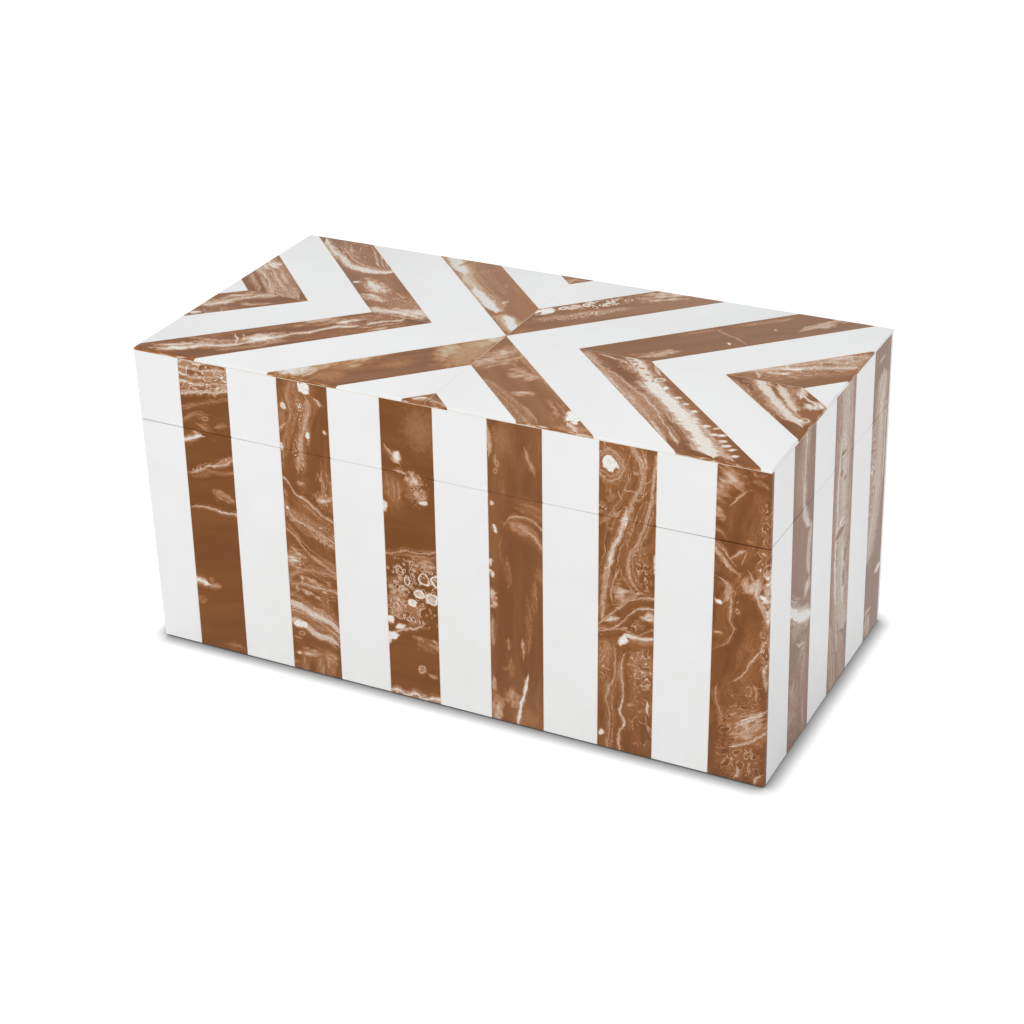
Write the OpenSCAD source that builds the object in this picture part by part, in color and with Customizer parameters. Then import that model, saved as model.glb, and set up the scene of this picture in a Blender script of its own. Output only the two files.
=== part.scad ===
// Inlaid keepsake box with a hinged lid.
// A fibreboard carcass is covered with cast resin strips and tiles, sawn through below the top to free
// the lid, lined with velvet and hung on a pair of brass hinges that stop the lid just past upright.
// X runs left to right, Y from the front to the back, Z up. The origin is the centre of the underside.

/* [Box] */
// Outside width, across the front
box_w = 305; // [270:1:330]
// Outside depth, front to back
box_d = 152; // [140:1:165]
// Overall height, felt included
box_h = 151; // [120:1:180]
// Height of the lid, from the saw cut to the top
lid_h = 36; // [30:1:45]
// Width of the saw cut between base and lid
saw_gap = 0.4; // [0.3:0.1:0.8]

/* [Carcass] */
// Thickness of the walls
wall_t = 8; // [7.5:0.5:10]
// Thickness of the floor board and of the lid board
board_t = 6; // [5:0.5:8]
// Depth of the rabbets that hold the side walls and the floor board
rabbet = 4; // [3:0.5:5]
// Thickness of the felt under the base
felt_t = 0.8; // [0.5:0.1:1.5]
// How far the felt stays in from the outside
felt_inset = 3; // [2:0.5:6]

/* [Strips on the walls] */
// Thickness of every strip and tile
resin_t = 2.5; // [2:0.1:3]
// Number of strips across the front and across the back
front_strips = 12; // [8:2:14]
// Number of strips along each side
side_strips = 6; // [4:2:8]
// How much narrower the end strips are than the others
end_trim = 2.5; // [0:0.1:6]
// How far the middle joint of the front and of the back sits off centre, to the right seen from outside
front_shift = -1.2; // [-3:0.1:3]
// How far the middle joint of a side sits off centre, to the right seen from outside
side_shift = 1; // [-3:0.1:3]
// How far the joints of the front and of the back lean to the right over the height of the box
front_lean = 2.8; // [-3:0.1:3]
// How far the joints of a side lean to the right over the height of the box
side_lean = -1.5; // [-3:0.1:3]

/* [Tiles on the lid] */
// Centre of the pattern, right of the centre of the box
pattern_x = -3.5; // [-6:0.1:6]
// Centre of the pattern, behind the centre of the box
pattern_y = 0.8; // [-4:0.1:4]
// Where the joints meet on the long centre line, out to the left from the centre of the pattern
tips_left = [38, 69.8, 104, 137.6]; // [30:0.1:145]
// Where the joints meet on the long centre line, out to the right
tips_right = [36, 71, 105.5, 141]; // [30:0.1:148]
// Where the joints meet on the short centre line, out to the front
tips_front = [34.4, 66]; // [30:0.1:70]
// Where the joints meet on the short centre line, out to the back
tips_back = [33.6, 65.8]; // [30:0.1:70]
// Lean of the joints, sideways run for each millimetre from front to back: front left quarter
lean_front_left = 1.02; // [0.98:0.005:1.06]
// Lean of the joints in the front right quarter
lean_front_right = 1.025; // [0.98:0.005:1.06]
// Lean of the joints in the back left quarter
lean_back_left = 0.99; // [0.98:0.005:1.06]
// Lean of the joints in the back right quarter
lean_back_right = 1.015; // [0.98:0.005:1.06]
// Extra lean of each further joint out from the first: front left quarter
fan_front_left = 0.07; // [0:0.005:0.08]
// Extra lean of each further joint in the front right quarter
fan_front_right = 0.02; // [0:0.005:0.08]
// Extra lean of each further joint in the back left quarter
fan_back_left = 0; // [0:0.005:0.08]
// Extra lean of each further joint in the back right quarter
fan_back_right = 0.015; // [0:0.005:0.08]
// Width of the bevel along the outer edges of the lid tiles
arris = 0.8; // [0.4:0.1:1.5]

/* [Lining] */
// Thickness of the velvet and its card
lining_t = 1; // [0.8:0.1:1.5]
// How far the wall lining stops short of the saw cut
lining_drop = 2; // [1:0.5:4]

/* [Hinges] */
// Distance of each hinge from the middle of the back
hinge_x = 95; // [60:1:105]
// Length of a hinge
hinge_l = 32; // [28:1:40]
// Thickness of a hinge leaf
leaf_t = 1.8; // [1.6:0.1:2.2]
// How far a leaf is let into the wall
leaf_w = 7.7; // [7.2:0.1:8]
// Radius of the knuckles
knuckle_r = 2.2; // [2:0.1:2.6]
// Radius of the hinge pin
pin_r = 1; // [0.8:0.1:1.2]
// Number of knuckles on a hinge
knuckles = 5; // [3:2:5]
// Angle at which the tails of the leaves meet and stop the lid
stop_angle = 95; // [90:1:100]
// Length of a tail, from the pin's axis to its tip
tail_l = 5; // [4.5:0.5:6]
// Number of screws in a leaf
leaf_screws = 3; // [2:1:3]
// Radius of the screw shanks
screw_r = 1; // [0.8:0.1:1.1]
// Radius of the screw heads
screw_head_r = 1.9; // [1.6:0.1:2]
// Length of a screw, its head included
screw_l = 9; // [7:0.5:12]

/* [Hidden] */
$fn = 48;
turn_fit = 0.05;                          // radial clearance round a turning pin
pass_gap = 0.1;                           // clearance between parts that pass each other
knuckle_gap = 0.3;                        // gap between neighbouring knuckles
stop_slack = 0.3;                         // degrees left between each tail and the stop plane
slot_w = 0.5;                             // screwdriver slot
slot_depth = 0.5;
past = 1;                                 // overshoot of a cutting shape

seam_z = box_h - lid_h;                   // middle of the saw cut
base_top = seam_z - saw_gap / 2;
lid_low = seam_z + saw_gap / 2;
tile_z = box_h - resin_t;                 // underside of the lid tiles
lid_board_z = tile_z - board_t;           // underside of the lid board
floor_z = felt_t + board_t;               // top of the floor board
core_w = box_w - 2 * resin_t;             // the carcass inside the strips
core_d = box_d - 2 * resin_t;
room_w = core_w - 2 * wall_t;             // the space inside the carcass
room_d = core_d - 2 * wall_t;

hinge_y = box_d / 2 + knuckle_r + pass_gap;                   // pin axis, just behind the back
screw_y = box_d / 2 - resin_t - (leaf_w - resin_t) / 2;       // middle of the leaf's part in the wood
knuckle_l = hinge_l / knuckles;

board_colour = "burlywood";
felt_colour = "dimgray";
white = "gainsboro";
brown = "sienna";
velvet = "darkred";
brass = "goldenrod";
steel = "silver";

// A block between two opposite corners
module block(low, high) translate(low) cube(high - low);

// A round bar of length l along X, centred on x
module bar(x, y, z, r, l) translate([x - l / 2, y, z]) rotate([0, 90, 0]) cylinder(r = r, h = l);

// Turns what faces the front so that it faces the right, the back or the left
module facing_right() rotate([0, 0, 90]) children();
module facing_back() rotate([0, 0, 180]) children();
module facing_left() rotate([0, 0, -90]) children();

// ---- Carcass ------------------------------------------------------------------------------------
// Front and back walls run the full width, and the side walls sit in rabbets at their ends.

module front_wall(z0, z1) difference() {
    block([-core_w / 2, -core_d / 2, z0], [core_w / 2, -core_d / 2 + wall_t, z1]);
    for (x = [-core_w / 2 - past, room_w / 2])
        translate([x, -core_d / 2 + rabbet, z0 - past]) cube([wall_t + past, wall_t, z1 - z0 + 2 * past]);
}

module back_wall(z0, z1) difference() {
    facing_back() front_wall(z0, z1);
    hinge_mortises();
    all_screw_bodies();
}

module side_wall(z0, z1)
    block([room_w / 2, -core_d / 2 + rabbet, z0], [core_w / 2, core_d / 2 - rabbet, z1]);

// The floor board fills a rabbet all round the foot of the walls
module floor_board() block([-room_w / 2 - rabbet, -room_d / 2 - rabbet, felt_t],
                           [room_w / 2 + rabbet, room_d / 2 + rabbet, floor_z]);

module base_front_panel() color(board_colour) difference() {
    front_wall(felt_t, base_top);
    floor_board();
}
module base_back_panel() color(board_colour) difference() {
    back_wall(felt_t, base_top);
    floor_board();
}
module base_right_panel() color(board_colour) difference() {
    side_wall(felt_t, base_top);
    floor_board();
}
module base_left_panel() facing_back() base_right_panel();
module base_floor_panel() color(board_colour) floor_board();
module base_felt() color(felt_colour) block([-box_w / 2 + felt_inset, -box_d / 2 + felt_inset, 0],
                                            [box_w / 2 - felt_inset, box_d / 2 - felt_inset, felt_t]);

module lid_front_panel() color(board_colour) front_wall(lid_low, lid_board_z);
module lid_back_panel() color(board_colour) back_wall(lid_low, lid_board_z);
module lid_right_panel() color(board_colour) side_wall(lid_low, lid_board_z);
module lid_left_panel() facing_back() lid_right_panel();
module lid_top_panel() color(board_colour)
    block([-core_w / 2, -core_d / 2, lid_board_z], [core_w / 2, core_d / 2, tile_z]);

// ---- Strips on the walls ------------------------------------------------------------------------
// Colours alternate all the way round. Each wall, seen from outside, starts with a white strip at its
// left end and ends with a brown one. Front and back strips cover the ends of the side strips.

// Joint number i of a wall of the given width, at height z: its outer ends for 0 and for the last
function joint_x(i, strips, width, shift, lean, z) =
    i == 0 ? -width / 2 : i == strips ? width / 2
    : shift + (i - strips / 2) * (width + 2 * end_trim) / strips + lean * (z / box_h - 1 / 2);

// Every other strip of a wall that faces the front with its face at face_y, from strip number first
module strip_row(first, strips, width, shift, lean, face_y, z0, z1)
    translate([0, face_y + resin_t, 0]) rotate([90, 0, 0])
        for (i = [first : 2 : strips - 1]) linear_extrude(resin_t) polygon([
            [joint_x(i, strips, width, shift, lean, z0), z0],
            [joint_x(i + 1, strips, width, shift, lean, z0), z0],
            [joint_x(i + 1, strips, width, shift, lean, z1), z1],
            [joint_x(i, strips, width, shift, lean, z1), z1]
        ]);

module long_row(first, z0, z1)
    strip_row(first, front_strips, box_w, front_shift, front_lean, -box_d / 2, z0, z1);
module short_row(first, z0, z1)
    strip_row(first, side_strips, core_d, side_shift, side_lean, -box_w / 2, z0, z1);
module back_row(first, z0, z1) difference() {
    facing_back() long_row(first, z0, z1);
    hinge_mortises();
}

module base_front_white_strips() color(white) long_row(0, felt_t, base_top);
module base_front_brown_strips() color(brown) long_row(1, felt_t, base_top);
module base_right_white_strips() color(white) facing_right() short_row(0, felt_t, base_top);
module base_right_brown_strips() color(brown) facing_right() short_row(1, felt_t, base_top);
module base_back_white_strips() color(white) back_row(0, felt_t, base_top);
module base_back_brown_strips() color(brown) back_row(1, felt_t, base_top);
module base_left_white_strips() color(white) facing_left() short_row(0, felt_t, base_top);
module base_left_brown_strips() color(brown) facing_left() short_row(1, felt_t, base_top);

module lid_front_white_strips() color(white) long_row(0, lid_low, tile_z);
module lid_front_brown_strips() color(brown) long_row(1, lid_low, tile_z);
module lid_right_white_strips() color(white) facing_right() short_row(0, lid_low, tile_z);
module lid_right_brown_strips() color(brown) facing_right() short_row(1, lid_low, tile_z);
module lid_back_white_strips() color(white) back_row(0, lid_low, tile_z);
module lid_back_brown_strips() color(brown) back_row(1, lid_low, tile_z);
module lid_left_white_strips() color(white) facing_left() short_row(0, lid_low, tile_z);
module lid_left_brown_strips() color(brown) facing_left() short_row(1, lid_low, tile_z);

// ---- Tiles on the lid ---------------------------------------------------------------------------
// In each quarter the tiles slant outwards from the long centre line and meet those of the next
// quarter on a mitre, so the joints draw chevrons and diamonds about the centre of the pattern.

// Outline of the tile slab across a given width, its upper corners bevelled
module slab_outline(width) polygon([
    [-width / 2, tile_z], [width / 2, tile_z], [width / 2, box_h - arris],
    [width / 2 - arris, box_h], [-width / 2 + arris, box_h], [-width / 2, box_h - arris]
]);

module tile_slab() intersection() {
    translate([0, box_d / 2, 0]) rotate([90, 0, 0]) linear_extrude(box_d) slab_outline(box_w);
    translate([-box_w / 2, 0, 0]) rotate([90, 0, 90]) linear_extrude(box_w) slab_outline(box_d);
}

// Joint number k of a quarter, at a distance y from the long centre line. Joint 0 starts at the centre
// of the pattern, those above it on the long centre line and those below it on the short one. Past
// the last joint either way it lies off the box.
function tile_joint(k, y, tips, apexes, lean, fan) =
    k > len(tips) ? 2 * box_w : k < -len(apexes) ? -2 * box_w
    : k > 0 ? tips[k - 1] + (lean + fan * (k - 1)) * y
    : lean * (y - (k < 0 ? apexes[-k - 1] : 0));

// Tile number k of a quarter, between its joints k and k + 1
module tile(k, tips, apexes, lean, fan) polygon([
    [tile_joint(k, 0, tips, apexes, lean, fan), 0], [tile_joint(k + 1, 0, tips, apexes, lean, fan), 0],
    [tile_joint(k + 1, box_d, tips, apexes, lean, fan), box_d],
    [tile_joint(k, box_d, tips, apexes, lean, fan), box_d]
]);

// Every other tile of the quarter that lies towards side_x and side_y, from tile number first. Even
// numbers are white, and tile 0 has a corner at the centre of the pattern.
module quarter_tiles(side_x, side_y, tips, apexes, lean, fan, first) intersection() {
    tile_slab();
    translate([pattern_x, pattern_y, tile_z])
        mirror([side_x < 0 ? 1 : 0, 0, 0]) mirror([0, side_y < 0 ? 1 : 0, 0])
            for (k = [first : 2 : len(tips)]) linear_extrude(resin_t) intersection() {
                tile(k, tips, apexes, lean, fan);
                square([box_w, box_d]);
            }
}

module front_left_tiles(first)
    quarter_tiles(-1, -1, tips_left, tips_front, lean_front_left, fan_front_left, first);
module front_right_tiles(first)
    quarter_tiles(1, -1, tips_right, tips_front, lean_front_right, fan_front_right, first);
module back_left_tiles(first)
    quarter_tiles(-1, 1, tips_left, tips_back, lean_back_left, fan_back_left, first);
module back_right_tiles(first)
    quarter_tiles(1, 1, tips_right, tips_back, lean_back_right, fan_back_right, first);

module lid_top_front_left_white_tiles() color(white) front_left_tiles(-2);
module lid_top_front_left_brown_tiles() color(brown) front_left_tiles(-3);
module lid_top_front_right_white_tiles() color(white) front_right_tiles(-2);
module lid_top_front_right_brown_tiles() color(brown) front_right_tiles(-3);
module lid_top_back_left_white_tiles() color(white) back_left_tiles(-2);
module lid_top_back_left_brown_tiles() color(brown) back_left_tiles(-3);
module lid_top_back_right_white_tiles() color(white) back_right_tiles(-2);
module lid_top_back_right_brown_tiles() color(brown) back_right_tiles(-3);

// ---- Lining -------------------------------------------------------------------------------------
// Velvet over card: a sheet on the floor or under the lid board, and one on each wall.

module flat_lining(z) block([-room_w / 2, -room_d / 2, z], [room_w / 2, room_d / 2, z + lining_t]);
module long_lining(z0, z1)
    block([-room_w / 2, -room_d / 2, z0], [room_w / 2, -room_d / 2 + lining_t, z1]);
module short_lining(z0, z1) block([room_w / 2 - lining_t, -room_d / 2 + lining_t, z0],
                                  [room_w / 2, room_d / 2 - lining_t, z1]);

module base_floor_lining() color(velvet) flat_lining(floor_z);
module base_front_lining() color(velvet) long_lining(floor_z + lining_t, base_top - lining_drop);
module base_back_lining() facing_back() base_front_lining();
module base_right_lining() color(velvet) short_lining(floor_z + lining_t, base_top - lining_drop);
module base_left_lining() facing_back() base_right_lining();

module lid_ceiling_lining() color(velvet) flat_lining(lid_board_z - lining_t);
module lid_front_lining() color(velvet) long_lining(lid_low + lining_drop, lid_board_z - lining_t);
module lid_back_lining() facing_back() lid_front_lining();
module lid_right_lining() color(velvet) short_lining(lid_low + lining_drop, lid_board_z - lining_t);
module lid_left_lining() facing_back() lid_right_lining();

// ---- Hinges -------------------------------------------------------------------------------------
// Each leaf is let into the sawn edge of the back wall and carries its own knuckles. Behind the pin
// its tail is bevelled on a plane through the pin's axis, and the two bevels meet at the stop angle.
// The lid's half of a hinge is the base's half turned over about the saw cut.

module turned_over() translate([0, 0, 2 * seam_z]) mirror([0, 0, 1]) children();

module hinge_mortises() for (side = [-1, 1])
    block([side * hinge_x - hinge_l / 2, box_d / 2 - leaf_w, base_top - leaf_t],
          [side * hinge_x + hinge_l / 2, box_d / 2 + past, lid_low + leaf_t]);

// A countersunk wood screw without its slot, pointing down, the top of its head at the origin
module screw_body() rotate_extrude() polygon([
    [0, 0], [screw_head_r, 0], [screw_r, screw_r - screw_head_r], [screw_r, 2 * screw_r - screw_l],
    [0, -screw_l]
]);
module slotted_screw() difference() {
    screw_body();
    block([-screw_head_r - past, -slot_w / 2, -slot_depth], [screw_head_r + past, slot_w / 2, past]);
}

// Puts its children at each screw of the base leaf at x
module at_leaf_screws(x) for (i = [0 : leaf_screws - 1])
    translate([x + (i - (leaf_screws - 1) / 2) * hinge_l / leaf_screws, screw_y, base_top]) children();
module all_screw_bodies() for (side = [-1, 1]) {
    at_leaf_screws(side * hinge_x) screw_body();
    turned_over() at_leaf_screws(side * hinge_x) screw_body();
}
module hinge_base_screws() color(brass) for (side = [-1, 1]) at_leaf_screws(side * hinge_x) slotted_screw();
module hinge_lid_screws() turned_over() hinge_base_screws();

// Every other knuckle of the hinge at x, from knuckle number first. The base has the even ones.
module knuckle_row(x, first, r, gap) for (i = [first : 2 : knuckles - 1])
    bar(x + (i - (knuckles - 1) / 2) * knuckle_l, hinge_y, seam_z, r, knuckle_l - gap);

// Plate and tail of a base leaf, drawn across the pin with its axis at the origin
module leaf_outline() {
    half_stop = stop_angle / 2 + stop_slack;
    top = -saw_gap / 2;
    tail_z = -tail_l * sin(half_stop);
    inner_end = -knuckle_r - pass_gap - leaf_w;
    polygon([
        [inner_end, top], [-top / tan(half_stop), top], [tail_l * cos(half_stop), tail_z],
        [-knuckle_r, tail_z], [-knuckle_r, top - leaf_t], [inner_end, top - leaf_t]
    ]);
}

// A leaf that lies below the saw cut, with knuckles from number own and clearance for those from other
module leaf(x, own, other, bore_r) difference() {
    union() {
        difference() {
            translate([x - hinge_l / 2, hinge_y, seam_z]) rotate([90, 0, 90]) linear_extrude(hinge_l)
                leaf_outline();
            knuckle_row(x, other, knuckle_r + pass_gap, -knuckle_gap);
        }
        knuckle_row(x, own, knuckle_r, knuckle_gap);
    }
    bar(x, hinge_y, seam_z, bore_r, 2 * hinge_l);
    at_leaf_screws(x) screw_body();
}

module base_leaf(x) color(brass) leaf(x, 0, 1, pin_r);
module lid_leaf(x) color(brass) turned_over() leaf(x, 1, 0, pin_r + turn_fit);
module hinge_pin(x) color(steel) bar(x, hinge_y, seam_z, pin_r, hinge_l);

module hinge_left_base_leaf() base_leaf(-hinge_x);
module hinge_right_base_leaf() base_leaf(hinge_x);
module hinge_left_lid_leaf() lid_leaf(-hinge_x);
module hinge_right_lid_leaf() lid_leaf(hinge_x);
module hinge_left_pin() hinge_pin(-hinge_x);
module hinge_right_pin() hinge_pin(hinge_x);

base_front_panel();
base_back_panel();
base_left_panel();
base_right_panel();
base_floor_panel();
base_felt();
base_front_white_strips();
base_front_brown_strips();
base_right_white_strips();
base_right_brown_strips();
base_back_white_strips();
base_back_brown_strips();
base_left_white_strips();
base_left_brown_strips();
base_floor_lining();
base_front_lining();
base_back_lining();
base_left_lining();
base_right_lining();
hinge_left_base_leaf();
hinge_right_base_leaf();
hinge_left_pin();
hinge_right_pin();
hinge_base_screws();
lid_top_panel();
lid_front_panel();
lid_back_panel();
lid_left_panel();
lid_right_panel();
lid_front_white_strips();
lid_front_brown_strips();
lid_right_white_strips();
lid_right_brown_strips();
lid_back_white_strips();
lid_back_brown_strips();
lid_left_white_strips();
lid_left_brown_strips();
lid_top_front_left_white_tiles();
lid_top_front_left_brown_tiles();
lid_top_front_right_white_tiles();
lid_top_front_right_brown_tiles();
lid_top_back_left_white_tiles();
lid_top_back_left_brown_tiles();
lid_top_back_right_white_tiles();
lid_top_back_right_brown_tiles();
lid_ceiling_lining();
lid_front_lining();
lid_back_lining();
lid_left_lining();
lid_right_lining();
hinge_left_lid_leaf();
hinge_right_lid_leaf();
hinge_lid_screws();
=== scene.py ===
import math
import bmesh
import bpy
from mathutils import Matrix, Vector, noise


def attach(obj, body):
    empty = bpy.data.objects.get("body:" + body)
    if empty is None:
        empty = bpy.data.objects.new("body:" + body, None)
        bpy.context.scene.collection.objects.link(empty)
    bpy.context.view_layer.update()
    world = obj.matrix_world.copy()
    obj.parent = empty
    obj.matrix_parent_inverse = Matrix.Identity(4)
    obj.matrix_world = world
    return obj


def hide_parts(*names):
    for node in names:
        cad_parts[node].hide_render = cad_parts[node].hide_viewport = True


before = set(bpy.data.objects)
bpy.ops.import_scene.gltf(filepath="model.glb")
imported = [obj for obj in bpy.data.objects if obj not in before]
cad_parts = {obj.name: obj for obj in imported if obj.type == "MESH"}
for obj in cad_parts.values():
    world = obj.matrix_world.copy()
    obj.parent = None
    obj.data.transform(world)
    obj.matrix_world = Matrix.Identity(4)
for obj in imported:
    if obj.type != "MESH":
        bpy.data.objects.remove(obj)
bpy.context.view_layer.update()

# ---- Carcass ----------------------------------------------------------------------------------
# Ten fibreboard panels, glued in rabbets: four walls and a floor for the base, four walls and a top
# board for the lid. Only the sawn rims show, sealed and a little scorched by the blade.

MM = 0.001
BOX_W, BOX_D, BOX_H = 305.0, 152.0, 151.0
LID_H = 36.0
SAW_GAP = 0.4
SEAM_Z = BOX_H - LID_H
BASE_TOP = SEAM_Z - SAW_GAP / 2
LID_LOW = SEAM_Z + SAW_GAP / 2
WELD = 0.001  # points nearer than this are one point
NEAR = 0.01  # places that differ by less count as the same
PANEL_ARRIS = 0.25


def tint(r, g, b):
    """A colour given in 0 to 255 screen values, as a shader wants it."""
    shares = (v / 255 for v in (r, g, b))
    return tuple(v / 12.92 if v <= 0.04045 else ((v + 0.055) / 1.055) ** 2.4 for v in shares) + (1.0,)


def step(operation, swapped=False):
    """One way to reckon with a wire and another value."""
    return lambda a, b: reckon(operation, b, a) if swapped else reckon(operation, a, b)


class Wire:
    """What comes out of a node, to be reckoned with like a plain number or vector. Each step is a node."""

    def __init__(self, socket):
        self.socket, self.tree = socket, socket.id_data

    __add__, __radd__ = step("ADD"), step("ADD", True)
    __sub__, __rsub__ = step("SUBTRACT"), step("SUBTRACT", True)
    __mul__, __rmul__ = step("MULTIPLY"), step("MULTIPLY", True)
    __truediv__, __rtruediv__ = step("DIVIDE"), step("DIVIDE", True)
    __pow__, __gt__, __lt__ = step("POWER"), step("GREATER_THAN"), step("LESS_THAN")

    def __abs__(self):
        return reckon("ABSOLUTE", self)

    def __ceil__(self):
        return reckon("CEIL", self)

    def __floor__(self):
        return reckon("FLOOR", self)


def fed(node, values):
    """The node, with its inputs set to values or joined to wires."""
    for name, value in dict(values).items():
        if isinstance(value, Wire):
            node.id_data.links.new(value.socket, node.inputs[name])
        else:
            node.inputs[name].default_value = value
    return node


def put(tree, kind, values=(), **settings):
    """A node of that kind, with its settings and its inputs."""
    node = tree.nodes.new(kind)
    for name, value in settings.items():
        setattr(node, name, value)
    return fed(node, values)


def out(tree, kind, values=(), wanted=0, **settings):
    """What comes out of such a node."""
    return Wire(put(tree, kind, values, **settings).outputs[wanted])


def reckon(operation, *values, clamp=False):
    """A sum of numbers or, where one of them is a vector, of vectors."""
    wires = [v for v in values if isinstance(v, Wire)]
    if any(isinstance(v, tuple) for v in values) or any(w.socket.type in ("VECTOR", "RGBA") for w in wires):
        return out(wires[0].tree, "ShaderNodeVectorMath", enumerate(values), operation=operation)
    return out(wires[0].tree, "ShaderNodeMath", enumerate(values), operation=operation, use_clamp=clamp)


def split(where):
    """The three parts of a place."""
    return [Wire(socket) for socket in put(where.tree, "ShaderNodeSeparateXYZ", {0: where}).outputs]


def eased(value, start, end, low=0.0, high=1.0, kind="SMOOTHSTEP"):
    """low where value is at start, high where it is at end."""
    return out(value.tree, "ShaderNodeMapRange", {0: value, 1: start, 2: end, 3: low, 4: high},
               interpolation_type=kind)


def blend(share, a, b):
    """Colour a where the share is 0, and b where it is 1."""
    return out(share.tree, "ShaderNodeMix", {0: share, 6: a, 7: b}, 2, data_type="RGBA")


def grains(where, scale, detail=2.0, roughness=0.5, seed=0.0, wanted=0):
    """Uneven grain: how high it stands at a place, or its colour."""
    values = {"Vector": where, "W": seed, "Scale": scale, "Detail": detail, "Roughness": roughness}
    return out(where.tree, "ShaderNodeTexNoise", values, wanted, noise_dimensions="4D")


def emptied(owner):
    """The emptied tree of nodes of a material or of the world."""
    owner.use_nodes = True
    owner.node_tree.nodes.clear()
    return owner.node_tree


def new_finish(name, roughness, metallic=0.0, **sockets):
    """A new material and its shader."""
    material = bpy.data.materials.new(name)
    tree = emptied(material)
    shader = put(tree, "ShaderNodeBsdfPrincipled", {"Roughness": roughness, "Metallic": metallic, **sockets})
    put(tree, "ShaderNodeOutputMaterial", {0: Wire(shader.outputs[0])})
    return material, shader


def in_mm(shader):
    """Object coordinates in millimetres, for that shader."""
    spot = out(shader.id_data, "ShaderNodeTexCoord", wanted="Object")
    return out(shader.id_data, "ShaderNodeMapping", {"Vector": spot, "Scale": (1 / MM,) * 3})


def bumped(shader, height, strength, distance):
    """Gives the shader a fine relief, its distance in metres."""
    values = {"Height": height, "Strength": strength, "Distance": distance}
    fed(shader, {"Normal": out(shader.id_data, "ShaderNodeBump", values)})


fibreboard, shader = new_finish("Fibreboard", 0.75)
spot = in_mm(shader)
fibres = grains(spot * (1, 1, 2.5), 1.1, 4, 0.65)
clumps = grains(spot, 0.12, 3, 0.6, 2.0)
colour = blend(eased(fibres, 0.35, 0.65), tint(139, 104, 70), tint(181, 146, 106))
colour = blend(eased(clumps, 0.4, 0.7, 0, 0.5), colour, tint(158, 120, 82))
scorched = eased(abs(split(spot)[2] - SEAM_Z), 0.2, 1.4, 0.55, 0)
fed(shader, {"Base Color": blend(scorched, colour, tint(104, 74, 48))})
bumped(shader, fibres, 0.35, 0.0003)

for name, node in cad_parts.items():
    if name.endswith("_panel"):
        node.data.materials.clear()
        node.data.materials.append(fibreboard)
        node.modifiers.new("Welded", "WELD").merge_threshold = WELD * MM
        arris = node.modifiers.new("Eased edges", "BEVEL")
        arris.width, arris.segments, arris.angle_limit = PANEL_ARRIS * MM, 2, math.radians(50)

# ---- Felt under the base ------------------------------------------------------------------------
# A sheet of charcoal wool felt, cut a little short of the outside and glued flat under the floor
# board. Its cut edge is soft, and its fibres lie every way.

FELT_T, FELT_INSET = 0.8, 3.0


def in_scene(name, data):
    """A new object of the scene around its data."""
    made = bpy.data.objects.new(name, data)
    bpy.context.scene.collection.objects.link(made)
    return made


def mesh_piece(name, shape, material, body, stands_for=(), smooth=40):
    """Turns a bmesh in millimetres into a piece that rides on a body."""
    mesh = bpy.data.meshes.new(name)
    bmesh.ops.scale(shape, vec=(MM,) * 3, verts=shape.verts)
    bmesh.ops.recalc_face_normals(shape, faces=shape.faces)
    shape.to_mesh(mesh)
    shape.free()
    mesh.materials.append(material)
    mesh.polygons.foreach_set("use_smooth", [True] * len(mesh.polygons))
    mesh.set_sharp_from_angle(angle=math.radians(smooth))
    piece = in_scene(name, mesh)
    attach(piece, body)
    if stands_for:
        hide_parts(*stands_for)


def block(shape, low, high):
    """Adds a plain block between two corners."""
    low, high = Vector(low), Vector(high)
    bmesh.ops.create_cube(shape, size=1, matrix=Matrix.Translation((low + high) / 2)
                          @ Matrix.Diagonal((*(high - low), 1)))


def sliced(shape, axis, at):
    """Cuts every face that crosses a plane square to an axis."""
    normal = Vector((axis == 0, axis == 1, axis == 2))
    bmesh.ops.bisect_plane(shape, geom=shape.verts[:] + shape.edges[:] + shape.faces[:],
                           plane_co=normal * at, plane_no=normal)


def soft_board(low, high, pitch, round_off, nap, seed):
    """A thin board with rounded edges, its faces cut into a grid and a little uneven."""
    shape = bmesh.new()
    block(shape, low, high)
    middle, size = (Vector(low) + Vector(high)) / 2, Vector(high) - Vector(low)
    bmesh.ops.bevel(shape, geom=shape.edges[:], offset=round_off, segments=3, profile=0.5, affect="EDGES")
    thin = min(range(3), key=lambda axis: size[axis])
    for axis in range(3):
        steps = 1 if axis == thin else round(size[axis] / pitch)
        for n in range(1, steps):
            sliced(shape, axis, low[axis] + size[axis] * n / steps)
    for vert in shape.verts:
        inward = -math.copysign(1, vert.co[thin] - middle[thin])
        rise = 0.5 + 0.5 * noise.noise(vert.co * 0.09 + Vector((0, 0, seed)))
        vert.co[thin] += inward * nap * (0.7 * rise + 0.3 * abs(noise.noise(vert.co * 0.6)))
    return shape


felt, shader = new_finish("Charcoal felt", 0.95, **{"Sheen Weight": 0.35, "Sheen Roughness": 0.6})
spot = in_mm(shader)
wool = grains(spot, 3.2, 5, 0.75)
lint = eased(grains(spot * (1, 5, 1), 0.8, 4, 0.7, 3.0), 0.6, 0.72)
colour = blend(eased(wool, 0.35, 0.65), tint(52, 50, 50), tint(88, 86, 84))
fed(shader, {"Base Color": blend(lint * 0.4, colour, tint(132, 128, 122))})
bumped(shader, wool, 0.6, 0.0003)

half_w, half_d = BOX_W / 2 - FELT_INSET, BOX_D / 2 - FELT_INSET
mesh_piece("felt_base", soft_board((-half_w, -half_d, 0), (half_w, half_d, FELT_T), 5, 0.2, 0.06, 4.0),
           felt, "base", ["base_felt"])

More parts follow.
